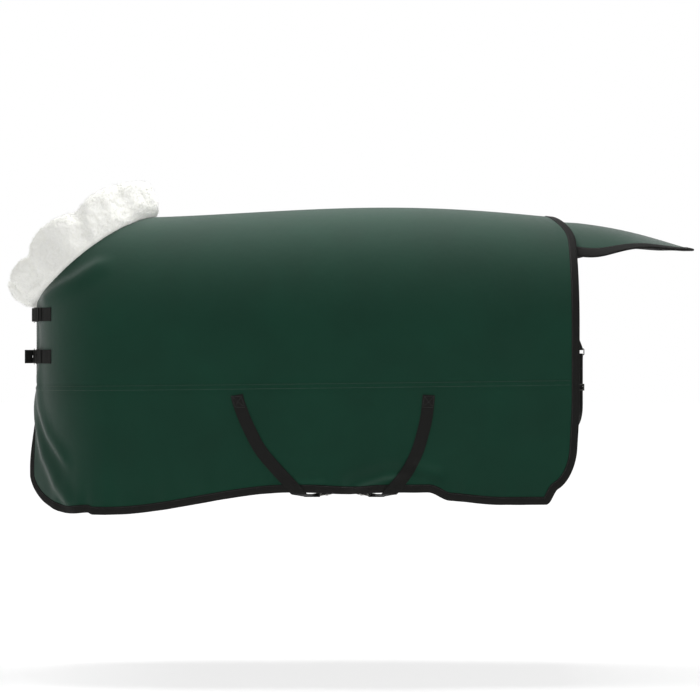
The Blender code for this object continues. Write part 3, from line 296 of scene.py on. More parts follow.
def relief(side, along, down):
    """How far the cloth stands out from its plain surface."""
    drop = drop_of(down)
    shift = 0.0 if side == LEFT else BOTH_SIDES_SHIFT
    out = np.zeros(np.broadcast(along, drop).shape)
    along = np.broadcast_to(along, out.shape)
    drop = np.broadcast_to(drop, out.shape)
    for points, half, height, tightness in FOLDS:
        out = out + fold_height(points, half, height, tightness, along - shift, drop)
    # a slow hang that grows towards the hem
    hang = smooth((drop - HANG_TOP) / HANG_RUN)
    out = out + HANG_OUT * hang * np.sin(along * 11.0 + 0.8 * side) * np.cos(drop * 6.0 + along)
    # the seam's ridge between its two rows of stitches, and its pucker
    from_seam = drop - seam_drop(along)
    short, long = (np.sin(along * 2 * math.pi / length) for length in PUCKER_LENGTHS)
    pucker = 1 + 0.5 * short * long
    out = out + SEAM_RIDGE * np.exp(-(from_seam / 0.0045) ** 2) * pucker
    out = out - SEAM_GROOVE * np.exp(-((np.abs(from_seam) - 0.009) / 0.006) ** 2) * pucker
    # the hem, eased into its binding
    from_hem = hem_drop(along) - drop
    long, short = (along * 2 * math.pi / length for length in HEM_WAVES)
    wave = np.sin(long + side) + 0.6 * np.sin(short)
    out = out + HEM_WAVE * wave * np.exp(-np.maximum(from_hem, 0.0) / 0.05) * smooth(along / 0.3)
    return out


def cloth(side, along, down, lift=0.0):
    """A point of the cloth as it hangs, a height above its mid surface."""
    along, down = np.broadcast_arrays(np.asarray(along, float), np.asarray(down, float))
    near_spine = smooth(down / 0.05)
    out = relief(side, along, down) * near_spine + lift
    return surface(side, along, down) + surface_normal(side, along, down) * out[..., None]


def cloth_normal(side, along, down):
    return normal_of(partial(cloth, side), along, down, 0.003, 0.003) * side


# ---- Mesh helpers ----
def mesh_object(name, verts, faces, *finishes):
    mesh = bpy.data.meshes.new(name)
    mesh.from_pydata(np.asarray(verts, float).tolist(), [], [list(map(int, f)) for f in faces])
    mesh.validate()
    mesh.polygons.foreach_set("use_smooth", [True] * len(mesh.polygons))
    item = bpy.data.objects.new(name, mesh)
    bpy.context.scene.collection.objects.link(item)
    for finish in finishes:
        mesh.materials.append(finish)
    return item


def grid_faces(rows, cols, around=False):
    """Quads of a grid of rows by cols points; around joins the last column to the first."""
    i, j = np.meshgrid(np.arange(rows - 1), np.arange(cols if around else cols - 1), indexing="ij")
    nxt = (j + 1) % cols
    return np.stack((i * cols + j, i * cols + nxt, (i + 1) * cols + nxt, (i + 1) * cols + j),
                    axis=-1).reshape(-1, 4)


def add_uv(item, uv):
    """Lengths in metres on the cloth, kept as a map that the weave follows."""
    layer = item.data.uv_layers.new(name="cloth")
    corners = np.zeros(len(item.data.loops), int)
    item.data.loops.foreach_get("vertex_index", corners)
    layer.uv.foreach_set("vector", np.asarray(uv, np.float32)[corners].ravel())


def grid_object(name, points, *finishes, uv=None, around=False):
    points = np.asarray(points)
    rows, cols = points.shape[:2]
    item = mesh_object(name, points.reshape(-1, 3), grid_faces(rows, cols, around), *finishes)
    if uv is not None:
        add_uv(item, np.asarray(uv).reshape(-1, 2))
    return item


def soften(item, width):
    edge = item.modifiers.new("edges", "BEVEL")
    edge.width = width
    edge.segments = 2
    edge.limit_method = "ANGLE"
    edge.angle_limit = math.radians(40)


def apply_modifiers(item):
    graph = bpy.context.evaluated_depsgraph_get()
    graph.update()
    made = bpy.data.meshes.new_from_object(item.evaluated_get(graph))
    item.modifiers.clear()
    item.data = made


def slab(name, points, thickness, *finishes, uv, bevel=0.0):
    """A grid with a thickness; a second finish is for its inside."""
    item = grid_object(name, points, *finishes, uv=uv)
    solid = item.modifiers.new("thickness", "SOLIDIFY")
    solid.thickness = thickness
    solid.offset = 0.0
    solid.use_even_offset = True
    solid.material_offset = len(finishes) - 1
    if bevel:
        soften(item, bevel)
    apply_modifiers(item)
    return item


# ---- Materials ----
class Nodes:
    """Short ways to wire up one material."""

    def __init__(self, name, roughness, metallic=0.0, sheen=0.0, specular=0.5):
        self.material = bpy.data.materials.new(name)
        self.material.use_nodes = True
        self.tree = self.material.node_tree
        self.shader = self.tree.nodes["Principled BSDF"]
        self.put(Roughness=roughness, Metallic=metallic, Sheen_Weight=sheen,
                 Sheen_Roughness=0.5, Specular_IOR_Level=specular)

    def put(self, **values):
        for key, value in values.items():
            self.shader.inputs[key.replace("_", " ")].default_value = value

    def add(self, kind, **settings):
        node = self.tree.nodes.new(kind)
        for key, value in settings.items():
            if hasattr(node, key):
                setattr(node, key, value)
            else:
                node.inputs[key.replace("_", " ")].default_value = value
        return node

    def link(self, source, target):
        self.tree.links.new(source, target)

    def places(self, on_cloth=False):
        """Where the pattern lies: metres on the cloth, or in the rug's own frame."""
        if on_cloth:
            return self.add("ShaderNodeUVMap", uv_map="cloth").outputs["UV"]
        return self.add("ShaderNodeTexCoord").outputs["Object"]

    def noise(self, places, scale, detail=3.0, roughness=0.5):
        node = self.add("ShaderNodeTexNoise", Scale=scale, Detail=detail, Roughness=roughness)
        self.link(places, node.inputs["Vector"])
        return node.outputs["Fac"]

    def ramp(self, factor, *stops):
        node = self.add("ShaderNodeValToRGB")
        elements = node.color_ramp.elements
        while len(elements) < len(stops):
            elements.new(0.5)
        for element, (place, colour) in zip(elements, stops):
            element.position = place
            element.color = (*colour, 1.0)
        self.link(factor, node.inputs["Fac"])
        return node.outputs["Color"]

    def math(self, operation, a, b=0.0):
        node = self.add("ShaderNodeMath", operation=operation)
        for socket, value in zip(node.inputs, (a, b)):
            if isinstance(value, (int, float)):
                socket.default_value = value
            else:
                self.link(value, socket)
        return node.outputs[0]

    def stripes(self, places, axis, pitch):
        """A rounded ridge, 0 to 1, repeated along one axis of the places."""
        split = self.add("ShaderNodeSeparateXYZ")
        self.link(places, split.inputs[0])
        turn = self.math("MULTIPLY", split.outputs[axis], math.pi / pitch)
        return self.math("ABSOLUTE", self.math("SINE", turn))

    def bump(self, height, distance, strength=1.0):
        node = self.add("ShaderNodeBump", Distance=distance, Strength=strength)
        self.link(height, node.inputs["Height"])
        self.link(node.outputs["Normal"], self.shader.inputs["Normal"])

    def colour(self, source):
        self.link(source, self.shader.inputs["Base Color"])

    def rough(self, source, low, high):
        node = self.add("ShaderNodeMapRange", To_Min=low, To_Max=high)
        self.link(source, node.inputs["Value"])
        self.link(node.outputs["Result"], self.shader.inputs["Roughness"])


GREEN = (0.0030, 0.0345, 0.0190)
WHITE = (1.0, 1.0, 1.0, 1.0)


def shaded(colour, factor):
    return tuple(c * factor for c in colour)


def shell_cloth():
    """Tight coated weave: nearly smooth, with a fine grain and slow changes of tone."""
    m = Nodes("shell_cloth", 0.62, sheen=0.42, specular=0.02)
    m.put(Sheen_Tint=WHITE)
    places = m.places(on_cloth=True)
    tone = m.noise(places, 5.0, detail=4.0)
    m.colour(m.ramp(tone, (0.25, shaded(GREEN, 0.90)), (0.5, GREEN), (0.8, shaded(GREEN, 1.12))))
    m.rough(m.noise(places, 30.0), 0.56, 0.70)
    weave = m.math("ADD", m.stripes(places, 0, 0.0016), m.stripes(places, 1, 0.0016))
    mottle = m.math("MULTIPLY", m.noise(places, 60.0, detail=5.0), 3.0)
    m.bump(m.math("ADD", weave, mottle), 0.00025, 0.5)
    return m.material


def lining_cloth():
    """Smooth nylon lining, darker than the shell."""
    m = Nodes("lining_cloth", 0.6, specular=0.06)
    places = m.places(on_cloth=True)
    tone = m.noise(places, 8.0)
    m.colour(m.ramp(tone, (0.3, (0.010, 0.013, 0.012)), (0.7, (0.016, 0.020, 0.018))))
    m.rough(m.noise(places, 40.0), 0.52, 0.68)
    m.bump(m.math("ADD", m.stripes(places, 0, 0.002), m.stripes(places, 1, 0.002)), 0.0002, 0.4)
    return m.material


def fleece():
    """Short curly pile, with slightly deeper lanes between its tufts, and a faint white glow that
    is painted light.
    """
    m = Nodes("fleece_pile", 0.95, sheen=0.1, specular=0.05)
    # the white emission is painted light: the fleece glows a little, which lifts its shaded parts
    # and flattens its shading
    m.put(Sheen_Roughness=0.7, Subsurface_Weight=0.6, Subsurface_Radius=(1.0, 1.0, 0.9),
          Subsurface_Scale=0.02, Emission_Color=(1.0, 1.0, 0.97, 1.0), Emission_Strength=0.22)
    places = m.places()
    tufts = m.noise(places, 160.0, detail=4.0, roughness=0.65)
    m.colour(m.ramp(tufts, (0.25, (0.57, 0.57, 0.54)), (0.5, (0.61, 0.61, 0.58)),
                    (0.8, (0.64, 0.64, 0.62))))
    m.bump(m.math("ADD", tufts, m.noise(places, 420.0, detail=3.0)), 0.0014, 0.45)
    return m.material


RIB_PITCH = 0.0022


def webbing():
    """Ribbed tape: ribs across it, with cross threads and a little lint, and painted shade in the
    grooves between the ribs.
    """
    m = Nodes("woven_webbing", 0.78, sheen=0.03, specular=0.10)
    places = m.places(on_cloth=True)
    ribs = m.stripes(places, 1, RIB_PITCH)
    cross = m.stripes(places, 0, RIB_PITCH * 1.6)
    lint = m.noise(places, 700.0, detail=2.0)
    # the colour follows the ribs: painted shade makes the grooves between them darker, with the
    # lint's random tone on top
    m.colour(m.ramp(m.math("MULTIPLY", lint, ribs), (0.1, (0.007, 0.007, 0.0065)),
                    (0.6, (0.016, 0.016, 0.015))))
    m.rough(lint, 0.62, 0.85)
    m.bump(m.math("ADD", ribs, m.math("MULTIPLY", cross, 0.5)), 0.0004, 0.8)
    return m.material


def tape():
    """The same webbing on small pieces, its weave laid by place instead of length."""
    m = Nodes("woven_tape", 0.78, sheen=0.03, specular=0.10)
    places = m.places()
    grain = m.noise(places, 900.0, detail=2.0)
    m.colour(m.ramp(grain, (0.3, (0.008, 0.008, 0.0075)), (0.7, (0.018, 0.018, 0.017))))
    m.rough(grain, 0.62, 0.85)
    ribs = m.math("ADD", m.stripes(places, 2, 0.0024), m.stripes(places, 0, 0.0020))
    m.bump(m.math("ADD", ribs, grain), 0.0004, 0.7)
    return m.material


def thread(name, colour):
    m = Nodes(name, 0.5, sheen=0.2)
    places = m.places()
    twist = m.noise(places, 1500.0, detail=1.0)
    m.colour(m.ramp(twist, (0.3, shaded(colour, 0.75)), (0.7, shaded(colour, 1.2))))
    m.bump(twist, 0.0002, 0.6)
    return m.material


def metal(name, colour, low, high):
    """Plated metal with faint scratches and duller worn patches."""
    m = Nodes(name, low, metallic=1.0)
    places = m.places()
    wear = m.noise(places, 90.0, detail=5.0)
    m.colour(m.ramp(wear, (0.3, shaded(colour, 0.78)), (0.65, colour)))
    m.rough(wear, high, low)
    m.bump(m.noise(places, 1200.0, detail=2.0), 0.00008, 0.5)
    return m.material


SHELL_CLOTH, LINING = shell_cloth(), lining_cloth()
FLEECE_PILE, WEBBING, TAPE = fleece(), webbing(), tape()
GREEN_THREAD = thread("seam_thread", (0.042, 0.062, 0.046))
BLACK_THREAD = thread("binding_thread", (0.022, 0.022, 0.021))
BRIGHT = metal("satin_nickel", (0.62, 0.61, 0.58), 0.22, 0.42)
DARK = metal("black_nickel", (0.065, 0.065, 0.06), 0.26, 0.5)


# ---- Shell ----
def side_columns():
    """Lengths along the side, closer together round the two corners of the hem."""
    even = np.linspace(EDGE_SPLIT, SIDE_END, COLUMNS - 24)
    turns = 1 - np.cos(np.linspace(0, math.pi / 2, 14)[1:-1])
    rear = SIDE_END - REAR_CORNER[0] * turns
    front = EDGE_SPLIT + FRONT_CORNER[0] * BOW_LENGTH / CHEST_BOW * turns
    return np.unique(np.round(np.concatenate((even, rear, front)), 5))


def half_shell():
    """Along and down lengths of one side's grid, hem to spine."""
    columns = side_columns()
    along, down = [], []
    hem, seam = hem_drop(columns), seam_drop(columns)
    for row in range(LOWER_ROWS):
        along.append(columns)
        down.append(down_of(hem + (seam - hem) * row / LOWER_ROWS))
    shares = (columns - columns[0]) / (columns[-1] - columns[0])
    for share in np.arange(UPPER_ROWS + 1) / UPPER_ROWS:
        rear_down = down_of(SEAM_REAR_DROP) * (1 - share)
        if share <= CHEST_SHARE:
            chest_drop = SEAM_FRONT_DROP + (NECK_DROP - SEAM_FRONT_DROP) * share / CHEST_SHARE
            front = (EDGE_SPLIT, down_of(chest_drop))
        else:
            front = neckline((share - CHEST_SHARE) / (1 - CHEST_SHARE))
        rear = (rear_along(rear_down), rear_down)
        along.append(front[0] + (rear[0] - front[0]) * shares)
        down.append(front[1] + (rear[1] - front[1]) * shares)
    return np.array(along), np.array(down)


def make_shell():
    along, down = half_shell()
    left, right = (cloth(side, along, down) for side in (LEFT, RIGHT))
    left_uv, right_uv = (np.stack((along, side * down), axis=-1) for side in (LEFT, RIGHT))
    points = np.concatenate((left, right[-2::-1]))
    uv = np.concatenate((left_uv, right_uv[-2::-1]))
    shell = slab("rug_shell", points, PANEL_THICK, SHELL_CLOTH, LINING, uv=uv)
    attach(shell, "rug")
    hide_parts("back_panel", "left_lower_panel", "right_lower_panel")
    return shell


# ---- Binding and stitches ----
def border():
    """Evenly spaced places (along, down) round a side's edge, neck to spine, with the way in."""
    front_drops = np.linspace(NECK_DROP, float(hem_drop(EDGE_SPLIT)), 60)
    front = np.stack((np.full(60, EDGE_SPLIT), down_of(front_drops)), axis=-1)
    columns = np.unique(np.concatenate((
        EDGE_SPLIT + (SIDE_END - EDGE_SPLIT) * (1 - np.cos(np.linspace(0, math.pi, 600))) / 2,
        side_columns())))
    hem = np.stack((columns, down_of(hem_drop(columns))), axis=-1)
    rear_downs = np.linspace(down_of(hem_drop(SIDE_END)), 0.0, 160)
    rear = np.stack((rear_along(rear_downs), rear_downs), axis=-1)
    line, ahead = evenly(np.concatenate((front, hem[1:], rear[1:])), BORDER_STEP)
    return line, np.stack((ahead[:, 1], -ahead[:, 0]), axis=-1)


def on_side(side):
    return partial(cloth, side), partial(cloth_normal, side)


def edge_points(place, normal, line, inward, reach, lift):
    """Points a reach inside an edge and a lift over its cloth; beyond the edge if reach < 0.

    place and normal give the cloth's points and normals from the line's two coordinates."""
    kept = line + inward * max(reach, 0.0)
    point = place(*kept.T)
    if reach < 0:
        inner = place(*(line + inward * 0.004).T)
        point = point + unit(inner - point) * reach
    return point + normal(*kept.T) * lift


BINDING_DRAWN, STITCH_REACH, STITCH_LIFT = BINDING_THICK * 0.8, BINDING_WIDTH * 0.86, 0.0009
LEG_LIFT = 0.0009
LEG, NOSE = PANEL_THICK / 2 + LEG_LIFT, PANEL_THICK / 2 + LEG_LIFT + 0.0004
LEG_SHAPE = ((1.0, -0.0006), (0.97, 0.0001), (0.75, 0.0007), (0.45, 0.0009), (0.2, 0.0006))
# Binding's cross-section: (reach inside the edge, lift over the mid surface)
BINDING_PROFILE = (
    [(BINDING_WIDTH * s, LEG + h) for s, h in LEG_SHAPE]
    + [(-NOSE * math.sin(t), NOSE * math.cos(t)) for t in np.linspace(0, math.pi, 7)]
    + [(BINDING_WIDTH * s, -LEG - h) for s, h in LEG_SHAPE[::-1]])


def edge_rows(place, normal, line, inward, profile):
    """Rows of points across a binding that wraps the edge."""
    return np.stack([edge_points(place, normal, line, inward, reach, lift)
                     for reach, lift in profile], axis=1)


def profile_lengths(points):
    """Lengths along and across a strip of rows, for its weave."""
    middle = points[:, points.shape[1] // 2]
    across, run = run_of(points[0])[None, :], run_of(middle)[:, None]
    return np.stack(np.broadcast_arrays(across, run), axis=-1)


STITCH_LENGTH, STITCH_GAP, STITCH_RADIUS = 0.0042, 0.0016, 0.00045
STITCH_SIDES, STITCH_RINGS = 5, (0.0, 0.25, 0.75, 1.0)
STITCH_HEIGHTS = (-1.2, 0.6, 0.6, -1.2)      # of each ring, in radii


def stitches(points, normals):
    """Vertices and faces of a row of short threads that dip into the cloth at both ends."""
    run = run_of(points)
    count = int(run[-1] / (STITCH_LENGTH + STITCH_GAP))
    starts = np.arange(count) * (STITCH_LENGTH + STITCH_GAP)
    places = (starts[:, None] + np.array(STITCH_RINGS) * STITCH_LENGTH).ravel()
    centre = np.stack([np.interp(places, run, points[:, k]) for k in range(3)], axis=-1)
    up = unit(np.stack([np.interp(places, run, normals[:, k]) for k in range(3)], axis=-1))
    ahead = unit(np.gradient(centre, axis=0))
    aside = unit(np.cross(ahead, up))
    height = np.tile(np.array(STITCH_HEIGHTS) * STITCH_RADIUS, count)
    centre = centre + up * height[:, None]
    turns = 2 * math.pi * np.arange(STITCH_SIDES) / STITCH_SIDES
    ring = (centre[:, None] + STITCH_RADIUS * (aside[:, None] * np.cos(turns)[:, None]
                                               + up[:, None] * np.sin(turns)[:, None]))
    one = grid_faces(len(STITCH_RINGS), STITCH_SIDES, around=True)
    size = len(STITCH_RINGS) * STITCH_SIDES
    faces = (one[None] + (np.arange(count) * size)[:, None, None]).reshape(-1, 4)
    return ring.reshape(-1, 3), faces


def stitch_object(name, rows, finish):
    verts, faces, start = [], [], 0
    for points, normals in rows:
        v, f = stitches(points, normals)
        verts.append(v)
        faces.append(f + start)
        start += len(v)
    item = mesh_object(name, np.concatenate(verts), np.concatenate(faces), finish)
    return item


def sewn_rows(place, normal, line, inward, leg, ways):
    """Rows of stitches along a binding: points and normals, outside (1) and inside (-1)."""
    kept = line + inward * STITCH_REACH
    point, out = place(*kept.T), normal(*kept.T)
    return [(point + out * way * (leg + STITCH_LIFT), out * way) for way in ways]


def make_binding():
    line, inward = border()
    points = np.concatenate([
        edge_rows(*on_side(side), *edge, BINDING_PROFILE)
        for side, edge in ((LEFT, (line, inward)), (RIGHT, (line[-2::-1], inward[-2::-1])))])
    binding = slab("rug_binding", points, BINDING_DRAWN, WEBBING, uv=profile_lengths(points))
    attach(binding, "rug")
    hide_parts("edge_binding")
    rows = [row for way in (1, -1) for side in (LEFT, RIGHT)
            for row in sewn_rows(*on_side(side), line, inward, LEG, (way,))]
    sewn = stitch_object("binding_stitches", rows, BLACK_THREAD)
    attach(sewn, "rug")
    return binding, sewn


SEAM_STITCH_OFF, SEAM_TAPE_HALF = 0.0062, 0.0125


def make_seam_stitches():
    """The two rows that run along each side's long seam."""
    rows = []
    along = np.arange(EDGE_SPLIT + BINDING_WIDTH, SIDE_END - BINDING_WIDTH, 0.005)
    for side in (LEFT, RIGHT):
        for offset in (-SEAM_STITCH_OFF, SEAM_STITCH_OFF):
            down = down_of(seam_drop(along) + offset)
            normal = cloth_normal(side, along, down)
            rows.append((cloth(side, along, down) + normal * (PANEL_THICK / 2 + 0.0003), normal))
    sewn = stitch_object("seam_stitches", rows, GREEN_THREAD)
    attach(sewn, "rug")
    return sewn


def make_seam_tapes():
    """The tape that covers each long seam on the inside."""
    along = np.arange(EDGE_SPLIT + BINDING_WIDTH, SIDE_END - BINDING_WIDTH, 0.010)
    offsets = np.linspace(-SEAM_TAPE_HALF, SEAM_TAPE_HALF, 5)
    for name, side in SIDES:
        points = np.stack([cloth(side, along, down_of(seam_drop(along) + d),
                                 -PANEL_THICK / 2 - LEG_LIFT) for d in offsets], axis=1)
        strip = slab(f"{name}_inner_tape", points, 0.0008, WEBBING, uv=profile_lengths(points))
        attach(strip, "rug")
        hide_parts(f"{name}_seam_tape")


# ---- Straps ----
def strap_mesh(name, centres, across, normals, width):
    """Webbing with rounded edges along centres; across and normals are unit directions."""
    half, t = width / 2, WEB_THICK / 2
    edge = min(0.0007, t * 0.8)
    outline = [(-half, 0.0), (-half + edge, t)]
    outline += [(half * s, t) for s in (-0.6, -0.2, 0.2, 0.6)]
    outline += [(half - edge, t), (half, 0.0), (half - edge, -t)]
    outline += [(half * s, -t) for s in (0.6, 0.2, -0.2, -0.6)]
    outline += [(-half + edge, -t)]
    points = np.stack([centres + across * a + normals * h for a, h in outline], axis=1)
    places = np.array([a + half for a, _ in outline])
    uv = np.stack(np.broadcast_arrays(places[None, :], run_of(centres)[:, None]), axis=-1)
    item = grid_object(name, points, WEBBING, uv=uv, around=True)
    cap(item)
    return item


def cap(item):
    """Closes the two open ends of a tube."""
    bm = bmesh.new()
    bm.from_mesh(item.data)
    bmesh.ops.holes_fill(bm, edges=[e for e in bm.edges if e.is_boundary], sides=0)
    bm.to_mesh(item.data)
    bm.free()


BIND_GAP, HEM_GAP, STRAP_GAP, CAD_WEB_THICK = 0.0011, 0.0014, 0.0005, 0.0024
HEM_SEAT = PANEL_THICK / 2 + BIND_GAP + BINDING_THICK + HEM_GAP + CAD_WEB_THICK / 2
STRAP_SEAT = PANEL_THICK / 2 + STRAP_GAP + WEB_THICK / 2
EDGE_GIRTH = HEM_MID_DROP + 0.008 - STRAP_TOP_DROP
FULL_GIRTH = 2 * EDGE_GIRTH + 2 * BARREL_HALF
PLATE_GIRTH = EDGE_GIRTH + 0.085
HOOK_GIRTH = PLATE_GIRTH + 0.056
BELLY_SAG = 0.010
FOLD, LAP = 0.0033, 0.0014             # middle of the webbing round a bar, and in a double layer


def route_x(front_side, girth):
    """X along the strap that starts at the left front or the left rear anchor."""
    near, far = ((SURCINGLE_FRONT, SURCINGLE_REAR) if front_side
                 else (SURCINGLE_REAR, SURCINGLE_FRONT))
    steps = np.array(SURCINGLE_STEPS)
    inside = EDGE_GIRTH + 0.03
    lean = 0.03 if near[-1] < far[-1] else -0.03
    girths = [*steps, inside, FULL_GIRTH - inside, *(FULL_GIRTH - steps[::-1])]
    places = [*near, near[-1] + lean, far[-1] - lean, *far[::-1]]
    spread = np.asarray(girth, float)[..., None] + np.linspace(-0.03, 0.03, 15)
    return np.interp(spread, girths, places).mean(axis=-1)


def girth_point(x, girth, lift):
    """A point on the straps' way: down the left side, under the belly, up the right side."""
    side = LEFT if girth < FULL_GIRTH / 2 else RIGHT
    near = min(girth, FULL_GIRTH - girth)
    half = float(half_width(x))
    along = NECK_END + x
    quarter = 0.5 * math.pi * HEM_SEAT
    down = down_of(STRAP_TOP_DROP + min(near, EDGE_GIRTH - 0.004))
    proud = float(relief(side, along, down)) * math.exp(-max(near - EDGE_GIRTH, 0.0) / 0.05)
    if near < EDGE_GIRTH - quarter / 2:
        onto_binding = float(smooth((near - EDGE_GIRTH + 0.055) / 0.03))
        seat = STRAP_SEAT + (HEM_SEAT - STRAP_SEAT) * onto_binding
        return np.array((x, side * (half + seat + proud + lift), -STRAP_TOP_DROP - near))
    bottom = -STRAP_TOP_DROP - EDGE_GIRTH + quarter / 2
    if near < EDGE_GIRTH + quarter / 2:
        turn = (near - EDGE_GIRTH + quarter / 2) / HEM_SEAT
        reach = HEM_SEAT + lift
        return np.array((x, side * (half + proud + reach * math.cos(turn)),
                         bottom - reach * math.sin(turn)))
    inward = near - EDGE_GIRTH - quarter / 2
    y = side * max(half + proud - inward * half / (BARREL_HALF - quarter / 2), 0.0)
    sag = BELLY_SAG * min(1.0, max(half - abs(y), 0.0) / 0.05)
    return np.array((x, y, bottom - HEM_SEAT - sag - lift))


def crossing(girth):
    return float(smooth((min(girth, FULL_GIRTH - girth) - EDGE_GIRTH - 0.20) / 0.06))


def folded(start, fold, back, direction):
    """Girths and lifts of a strap that folds round a bar and comes back over itself."""
    end = fold - direction * 0.014
    main = np.arange(start, end, direction * 0.006)
    turns = [g for edge in (EDGE_GIRTH, FULL_GIRTH - EDGE_GIRTH)
             for g in np.arange(edge - 0.012, edge + 0.012, 0.0012)
             if min(start, end) < g < max(start, end)]
    run = sorted({*np.round(main, 5), *np.round(turns, 5)}, reverse=direction < 0)
    points = [(g, 0.0) for g in run] + [(end, -LAP)]
    points += [(fold - direction * 0.009, -0.0026), (fold - direction * 0.004, -FOLD)]
    points += [(fold + direction * FOLD * math.cos(t), FOLD * math.sin(t))
               for t in np.linspace(-math.pi / 2, math.pi / 2, 9)]
    points += [(fold - direction * 0.004, FOLD), (fold - direction * 0.009, 0.0027)]
    points += [(fold - direction * s, LAP + 0.0004) for s in np.linspace(0.014, back, 5)]
    return points


def surcingle(name, front_side, start, fold, direction, cross):
    shares = np.linspace(-0.5, 0.5, 9)
    rows, uv, run = [], [], 0.0
    points = folded(start, fold, 0.034, direction)
    for girth, lift in points:
        ahead, behind = (float(route_x(front_side, girth + step)) for step in (0.004, -0.004))
        slope = (ahead - behind) / 0.008
        length = math.hypot(1.0, slope)
        row = []
        for share in shares:
            x = float(route_x(front_side, girth)) + share * WEB / length
            place = girth - share * WEB * slope / length
            row.append(girth_point(x, place, lift + cross * crossing(place)))
        if rows:
            run += float(np.linalg.norm(row[4] - rows[-1][4]))
        rows.append(row)
        uv.append([(share * WEB, run) for share in shares])
    strap = slab(name, rows, WEB_THICK, WEBBING, uv=uv, bevel=0.0005)
    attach(strap, "rug")
    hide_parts(name.replace("_strap", "_surcingle"))
    return strap


def anchor_stitches(front_side, side):
    """The sewn box with a cross in it that holds a surcingle's end on the seam."""
    lift = STRAP_SEAT + WEB_THICK / 2 + 0.0004
    x0, x1 = (SURCINGLE_FRONT if front_side else SURCINGLE_REAR)[:2]
    half, low, high = WEB / 2 - 0.004, 0.004, 0.040
    corners = [(-half, low), (half, low), (half, high), (-half, high)]
    paths = [corners + corners[:1], [corners[0], corners[2]], [corners[1], corners[3]]]
    rows = []
    lean = (x1 - x0) / SURCINGLE_STEPS[1]
    for path in paths:
        for a, b in zip(path, path[1:]):
            t = np.linspace(0, 1, 12)
            x = x0 + a[0] + (b[0] - a[0]) * t + lean * (a[1] + (b[1] - a[1]) * t)
            drop = STRAP_TOP_DROP + a[1] + (b[1] - a[1]) * t
            along = NECK_END + x
            normal = cloth_normal(side, along, down_of(drop))
            rows.append((cloth(side, along, down_of(drop)) + normal * lift, normal))
    return rows


def make_surcingles():
    rows = []
    for name, front_side, cross in (("front", True, 0.0), ("rear", False, CROSS_DROP)):
        other = "rear" if front_side else "front"
        surcingle(f"left_{name}_strap", front_side, 0.0, PLATE_GIRTH, 1, 0.0)
        surcingle(f"right_{other}_strap", front_side, FULL_GIRTH, HOOK_GIRTH, -1, cross)
        for side in (LEFT, RIGHT):
            rows += anchor_stitches(front_side, side)
    sewn = stitch_object("anchor_stitches", rows, BLACK_THREAD)
    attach(sewn, "rug")


# ---- Small fittings, drawn finer than the CAD solids they stand for ----
def refined(node, finish, bevel=0.0, rounding=0, bend=None):
    """A finer copy of a CAD node, with its edges rounded, that moves with the same body unless
    bend is given.

    bend, when given, leaves the piece where it stands, baked into the world and on no body; the
    second body and the two points that it names are not used."""
    source = frame["nodes"][node]
    item = bpy.data.objects.new(f"{node}_fine", source.data.copy())
    bpy.context.scene.collection.objects.link(item)
    bm = bmesh.new()
    bm.from_mesh(item.data)
    bmesh.ops.remove_doubles(bm, verts=bm.verts, dist=2e-5)
    bmesh.ops.join_triangles(bm, faces=bm.faces, angle_face_threshold=0.3,
                             angle_shape_threshold=0.7)
    bm.to_mesh(item.data)
    bm.free()
    item.data.materials.clear()
    item.data.materials.append(finish)
    if bevel:
        soften(item, bevel)
    if rounding:
        levels = item.modifiers.new("round", "SUBSURF")
        levels.levels = levels.render_levels = rounding
    apply_modifiers(item)
    item.data.polygons.foreach_set("use_smooth", [True] * len(item.data.polygons))
    if bend:
        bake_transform(item)
    else:
        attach(item, source["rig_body"])
    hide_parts(node)
    return item


def make_fittings():
    for level in ("upper", "lower"):
        for node in ("chest_tab", "chest_billet", "chest_keeper"):
            refined(f"{level}_{node}", TAPE, bevel=0.0004, rounding=1)
        for node in ("buckle_frame", "buckle_tongue", "buckle_roller"):
            refined(f"{level}_{node}", BRIGHT, rounding=2)
    for name, side in SIDES:
        turn = ("tail_strap", (RING_X, side * RING_Y, -RING_DROP + 0.016),
                (RING_X, side * RING_Y, -RING_DROP + 0.004))
        refined(f"{name}_ring_tab", TAPE, bevel=0.0004, rounding=1, bend=turn)
    for node in ("left_tail_ring", "right_tail_ring", "snap_hook", "snap_link", "snap_gate"):
        refined(node, DARK, rounding=2)
    refined("tail_strap_slider", DARK, bevel=0.0004, rounding=1)
    for node in ("front_slot_plate", "rear_slot_plate", "front_t_hook", "rear_t_hook",
                 "right_front_slider", "right_rear_slider"):
        refined(node, BRIGHT, bevel=0.0005)


# ---- Tail strap ----
RING_X, RING_Y, RING_DROP, RING_HEIGHT = REAR_X + 0.004, REAR_HALF - 0.0155, 0.445, 0.020
RING_WIRE, RING_GAP = 0.002, 0.0004
STRAP_TOP = RING_DROP + RING_HEIGHT
HOOK_HEIGHT, LINK_HEIGHT, TAIL_DROP, STRAIGHT_RUN = 0.046, 0.016, 0.27, 0.165


